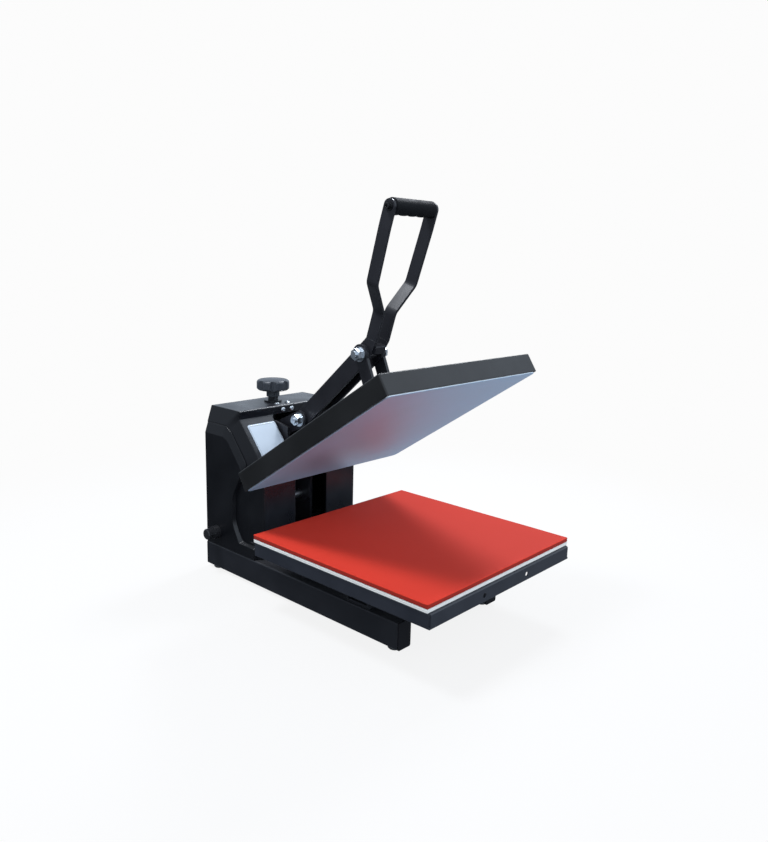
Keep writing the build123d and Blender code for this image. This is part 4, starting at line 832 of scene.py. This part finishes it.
def unlit_display():
    """Three figures of seven strokes each, printed on the window."""
    low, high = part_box("controller_window")
    slope = math.atan2(high.z - low.z, high.y - low.y)
    up = Vector((0, math.cos(slope), math.sin(slope)))
    out = Vector((0, -math.sin(slope), math.cos(slope)))
    window = surface_of("controller_window")
    hit, _, _, _ = window.ray_cast((low + high) / 2 + out * FIGURE_RAY_START, -out)
    gap = SEGMENT_LENGTH + SEGMENT_WIDTH * SEGMENT_SPACING_SHARE
    nodes = {"low_left": Vector((0, -gap)), "low_right": Vector((gap, -gap)), "left": Vector((0, 0)),
             "right": Vector((gap, 0)), "high_left": Vector((0, gap)), "high_right": Vector((gap, gap))}
    strokes = [("low_left", "low_right"), ("left", "right"), ("high_left", "high_right"),
               ("low_left", "left"), ("left", "high_left"), ("low_right", "right"), ("right", "high_right")]
    build = bmesh.new()
    for figure in (-1, 0, 1):
        for first, second in strokes:
            start, end = nodes[first], nodes[second]
            trim = (end - start).normalized() * SEGMENT_WIDTH * SEGMENT_TRIM_SHARE
            corners = []
            for corner in segment_ring(start + trim, end - trim, SEGMENT_WIDTH):
                x = figure * FIGURE_PITCH + corner.x - gap / 2 + FIGURE_LEAN * corner.y
                corners.append(build.verts.new(hit + Vector((x, 0, 0)) + up * corner.y + out * SEGMENT_RISE))
            build.faces.new(corners)
    bmesh.ops.recalc_face_normals(build, faces=build.faces)
    figures = new_piece("display_figures", mesh_of(build, "display_figures"))
    if figures.data.polygons[0].normal.dot(out) < 0:
        figures.data.flip_normals()
    figures.data.materials.append(segment_tint)
    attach(figures, "frame")


unlit_display()

# Handle grip.
# A sleeve of soft black rubber with finger grooves below and fine rings moulded round it.
RING_PITCH = 0.0020
RING_DEPTH = 0.00012
RING_STRENGTH = 0.6
RING_WOBBLE = 0.4
# A wave texture's bands stand this far apart at scale 1.
WAVE_PITCH = 0.314


def grip_material():
    """Rubber with shallow moulded rings along the grip, greyed where palms rub it."""
    made = finish("grip_rubber", (0.0040, 0.0045, 0.0060, 1.0), 0.72, tone=0.3, grain_size=0.0005,
                  grain_depth=0.00004, edge_radius=0.0012, worn_colour=(0.02, 0.02, 0.022, 1.0), wear=0.4,
                  dust=0.01, gloss=0.14)
    tree = made.node_tree
    normal = tree.nodes["Principled BSDF"].inputs["Normal"]
    place = add(tree, "ShaderNodeTexCoord").outputs["Object"]
    rings = add(tree, "ShaderNodeTexWave", {"Vector": place, "Scale": WAVE_PITCH / RING_PITCH,
                                            "Distortion": RING_WOBBLE}, bands_direction="X")
    feed(tree, normal, raise_skin(tree, rings.outputs["Fac"], RING_DEPTH, RING_STRENGTH,
                                  Normal=normal.links[0].from_socket))
    return made


dress(["handle_grip"], grip_material())

# Upper platen.
# A folded cover, painted, over a cast aluminium heat plate with a bonded non-stick coat, and between
# them the element and a blanket of ceramic wool.
COAT_METALLIC = 0.42
BARE_COLOUR = (0.86, 0.92, 0.95, 1.0)
SIDE_FACING = (0.7, 0.3)
WOOL_CORNER = 0.006
WOOL_EDGE = 0.003
WOOL_PULL = 0.001
WOOL_DIMPLE = 0.0009
STITCH_PITCH = 0.04
cover_paint = finish("platen_paint", (0.012, 0.012, 0.012, 1.0), 0.44, grain_size=0.0014,
                     grain_depth=0.00003, edge_radius=0.0014, worn_colour=(0.20, 0.20, 0.21, 1.0), wear=0.8,
                     dust=0.05, gloss=0.42)
dress(["platen_cover"], cover_paint)
hinge = [joint for joint in frame["joints"] if joint["name"] == "platen_hinge"][0]
hinge_point = Vector(hinge["pos_m"])
closing_turn = Matrix.Rotation(math.radians(hinge["range_deg"][1]), 4, "X")
opening_turn = closing_turn.inverted()


def heat_plate_material():
    """A bonded coat on the plate's faces; the milled sides are bare."""
    made = finish("heat_plate_coat", (0.37, 0.53, 0.69, 1.0), 0.42, metallic=COAT_METALLIC, tone=0.12,
                  rough_spread=0.04, grain_size=0.0012, grain_depth=0.00001, patch_size=0.10,
                  edge_radius=0.0016, worn_colour=BARE_COLOUR, wear=1.6)
    tree = made.node_tree
    surface = tree.nodes["Principled BSDF"].inputs
    coat = surface["Base Color"].links[0].from_socket
    way = add(tree, "ShaderNodeTexCoord").outputs["Normal"]
    plate_up = opening_turn.to_3x3() @ Vector((0, 0, 1))
    level = reckon(tree, "ABSOLUTE", align(tree, way, tuple(plate_up)))
    side = remap(tree, level, *SIDE_FACING)
    feed(tree, surface["Base Color"], blend_colour(tree, side, coat, BARE_COLOUR))
    feed(tree, surface["Metallic"], reckon(tree, "MULTIPLY_ADD", side, 1 - COAT_METALLIC, COAT_METALLIC))
    return made


def wool_dimples(x, y):
    """The blanket is stitched down on a coarse grid."""
    across = 0.5 + 0.5 * math.cos(math.tau * x / STITCH_PITCH)
    along = 0.5 + 0.5 * math.cos(math.tau * y / STITCH_PITCH)
    return -WOOL_DIMPLE * across * along


def wool_blanket():
    """The wool laid flat at the closed plate's level, then swung up with the open platen."""
    shape = frame["nodes"]["insulation_blanket"].data
    flat = [closing_turn @ (vertex.co - hinge_point) for vertex in shape.vertices]
    low = Vector([min(point[axis] for point in flat) for axis in range(3)])
    high = Vector([max(point[axis] for point in flat) for axis in range(3)])
    piece = laid_sheet("wool_blanket", low, high, WOOL_CORNER, WOOL_EDGE, WOOL_PULL, wool_dimples)
    piece.data.transform(Matrix.Translation(hinge_point) @ opening_turn)
    piece.data.materials.append(soft_material(
        "ceramic_wool", (0.78, 0.76, 0.70, 1.0), roughness=0.95, fibre_size=0.0012, fibre_depth=0.0003,
        stretch=(1.0, 0.4, 1.0), tone=0.15, patch_size=0.03))
    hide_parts("insulation_blanket")
    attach(piece, "upper_platen")


dress(["heating_plate"], heat_plate_material())
wool_blanket()

# The photograph.
# A pale floor in a white studio whose front is the bright side, a soft lamp above on either side, and
# the camera where the photographer stood.
# The floor glows white; near the press a share of that is real light, which shadows take away.
FLOOR_WHITE = 0.973
FLOOR_SHARE = 0.10
FLOOR_LIT = 1.15
FLOOR_BOUNCE = 0.75
FLOOR_TINT = (0.88, 0.96, 1.10, 1.0)
FLOOR_HALF = 6
SHADOW_REACH = (0.5, 1.3)
# Spans in the room are cosines from an axis, or heights from 0 at the horizon to 1 overhead.
ROOM_TINT = (0.86, 0.98, 1.14, 1.0)
FRONT_AXIS = (0.10, -0.98, 0.10)
FRONT_SPAN = (-0.35, 0.75)
FRONT_LEVEL = 1.35
SIDE_LEVEL = 0.40
WALL_FOOT = (-0.15, 0.12)
WALL_HEAD = (0.95, 0.60)
CEILING_SHARE = 0.15
LOW_AXIS = (0.72, 0.45, -0.52)
LOW_SPAN = (0.35, 0.95)
LOW_LEVEL = 0.06
LOW_GLOW = 0.56
LAMP_SIZE = 0.5
LAMP_TINT = (0.95, 0.99, 1.06)
LAMP_AIM = Vector((0, -0.1, 0.15))
LAMP_DISTANCE = 2.2
# The camera's place in metres, its angles in degrees, its lens and sensor in millimetres.
CAMERA_PLACE = (-0.96849, -0.914388, 0.59956)
CAMERA_TURN = -47.85
CAMERA_DIP = 11.87
CAMERA_ROLL = 1.51
CAMERA_LENS = 33.365
CAMERA_SENSOR = 36.0

scene = bpy.context.scene
scene.view_settings.view_transform = "Standard"

world = bpy.data.worlds.new("studio")
scene.world = world
world.use_nodes = True
sky = world.node_tree
sky.nodes.clear()
ray = add(sky, "ShaderNodeLightPath").outputs
facing = add(sky, "ShaderNodeTexCoord").outputs["Generated"]
height = add(sky, "ShaderNodeSeparateXYZ", {0: facing}).outputs["Z"]
front = remap(sky, align(sky, facing, FRONT_AXIS), *FRONT_SPAN, SIDE_LEVEL, FRONT_LEVEL, "SMOOTHSTEP")
above = remap(sky, height, *WALL_FOOT, curve="SMOOTHSTEP")
below_top = remap(sky, height, *WALL_HEAD, CEILING_SHARE, 1.0, "SMOOTHSTEP")
band = reckon(sky, "MULTIPLY", above, below_top)
bounced = remap(sky, align(sky, facing, LOW_AXIS), *LOW_SPAN, LOW_LEVEL, LOW_GLOW, "SMOOTHSTEP")
room = reckon(sky, "MULTIPLY_ADD", band, front, bounced)
seen = add(sky, "ShaderNodeBackground", {"Color": (FLOOR_WHITE, FLOOR_WHITE, FLOOR_WHITE, 1.0)})
lit = add(sky, "ShaderNodeBackground", {"Color": ROOM_TINT, "Strength": room})
clear = reckon(sky, "MAXIMUM", ray["Is Camera Ray"], ray["Is Transmission Ray"])
all_rays = add(sky, "ShaderNodeMixShader", {0: clear, 1: lit.outputs[0], 2: seen.outputs[0]})
add(sky, "ShaderNodeOutputWorld", {"Surface": all_rays.outputs[0]})

floor_mesh = bpy.data.meshes.new("floor")
floor_mesh.from_pydata([(-FLOOR_HALF, -FLOOR_HALF, 0), (FLOOR_HALF, -FLOOR_HALF, 0),
                        (FLOOR_HALF, FLOOR_HALF, 0), (-FLOOR_HALF, FLOOR_HALF, 0)], [], [(0, 1, 2, 3)])
floor = bpy.data.objects.new("floor", floor_mesh)
scene.collection.objects.link(floor)
floor.visible_glossy = False
floor_paper = bpy.data.materials.new("floor_paper")
floor_paper.use_nodes = True
paper = floor_paper.node_tree
paper.nodes.clear()
paper_ray = add(paper, "ShaderNodeLightPath").outputs
paper_place = add(paper, "ShaderNodeTexCoord").outputs["Object"]
away = add(paper, "ShaderNodeVectorMath", {0: paper_place}, operation="LENGTH").outputs["Value"]
near = remap(paper, away, SHADOW_REACH[1], SHADOW_REACH[0], 0.0, FLOOR_SHARE, "SMOOTHSTEP")
matt = add(paper, "ShaderNodeBsdfDiffuse", {"Color": near})
own = reckon(paper, "MULTIPLY_ADD", near, -FLOOR_LIT, FLOOR_WHITE)
shown = reckon(paper, "MULTIPLY", own, paper_ray["Is Camera Ray"])
thrown = reckon(paper, "MULTIPLY_ADD", paper_ray["Is Diffuse Ray"], FLOOR_BOUNCE, shown)
hue = blend_colour(paper, paper_ray["Is Camera Ray"], FLOOR_TINT, (1.0, 1.0, 1.0, 1.0))
shine = add(paper, "ShaderNodeEmission", {"Color": hue, "Strength": thrown})
both = add(paper, "ShaderNodeAddShader", {0: matt.outputs[0], 1: shine.outputs[0]})
add(paper, "ShaderNodeOutputMaterial", {"Surface": both.outputs[0]})
floor_mesh.materials.append(floor_paper)


def soft_lamp(name, bearing, rise, energy):
    """A square soft lamp at a bearing from the right and a rise above the floor, facing the press."""
    flat = math.cos(math.radians(rise))
    way = Vector((flat * math.cos(math.radians(bearing)), flat * math.sin(math.radians(bearing)),
                  math.sin(math.radians(rise))))
    data = bpy.data.lights.new(name, "AREA")
    data.shape = "SQUARE"
    data.size = LAMP_SIZE
    data.energy = energy
    data.color = LAMP_TINT
    lamp = bpy.data.objects.new(name, data)
    lamp.location = LAMP_AIM + way * LAMP_DISTANCE
    lamp.rotation_euler = way.to_track_quat("Z", "Y").to_euler()
    scene.collection.objects.link(lamp)


soft_lamp("right_lamp", bearing=20, rise=50, energy=27.0)
soft_lamp("left_lamp", bearing=140, rise=65, energy=29.0)

camera = bpy.data.objects.new("camera", bpy.data.cameras.new("camera"))
scene.collection.objects.link(camera)
camera.data.sensor_width = CAMERA_SENSOR
camera.data.lens = CAMERA_LENS
camera.location = CAMERA_PLACE
turn = Matrix.Rotation(math.radians(CAMERA_TURN), 4, "Z")
tip = Matrix.Rotation(math.radians(90 - CAMERA_DIP), 4, "X")
roll = Matrix.Rotation(math.radians(CAMERA_ROLL), 4, "Z")
camera.rotation_euler = (turn @ tip @ roll).to_euler()
scene.camera = camera

bpy.context.view_layer.update()
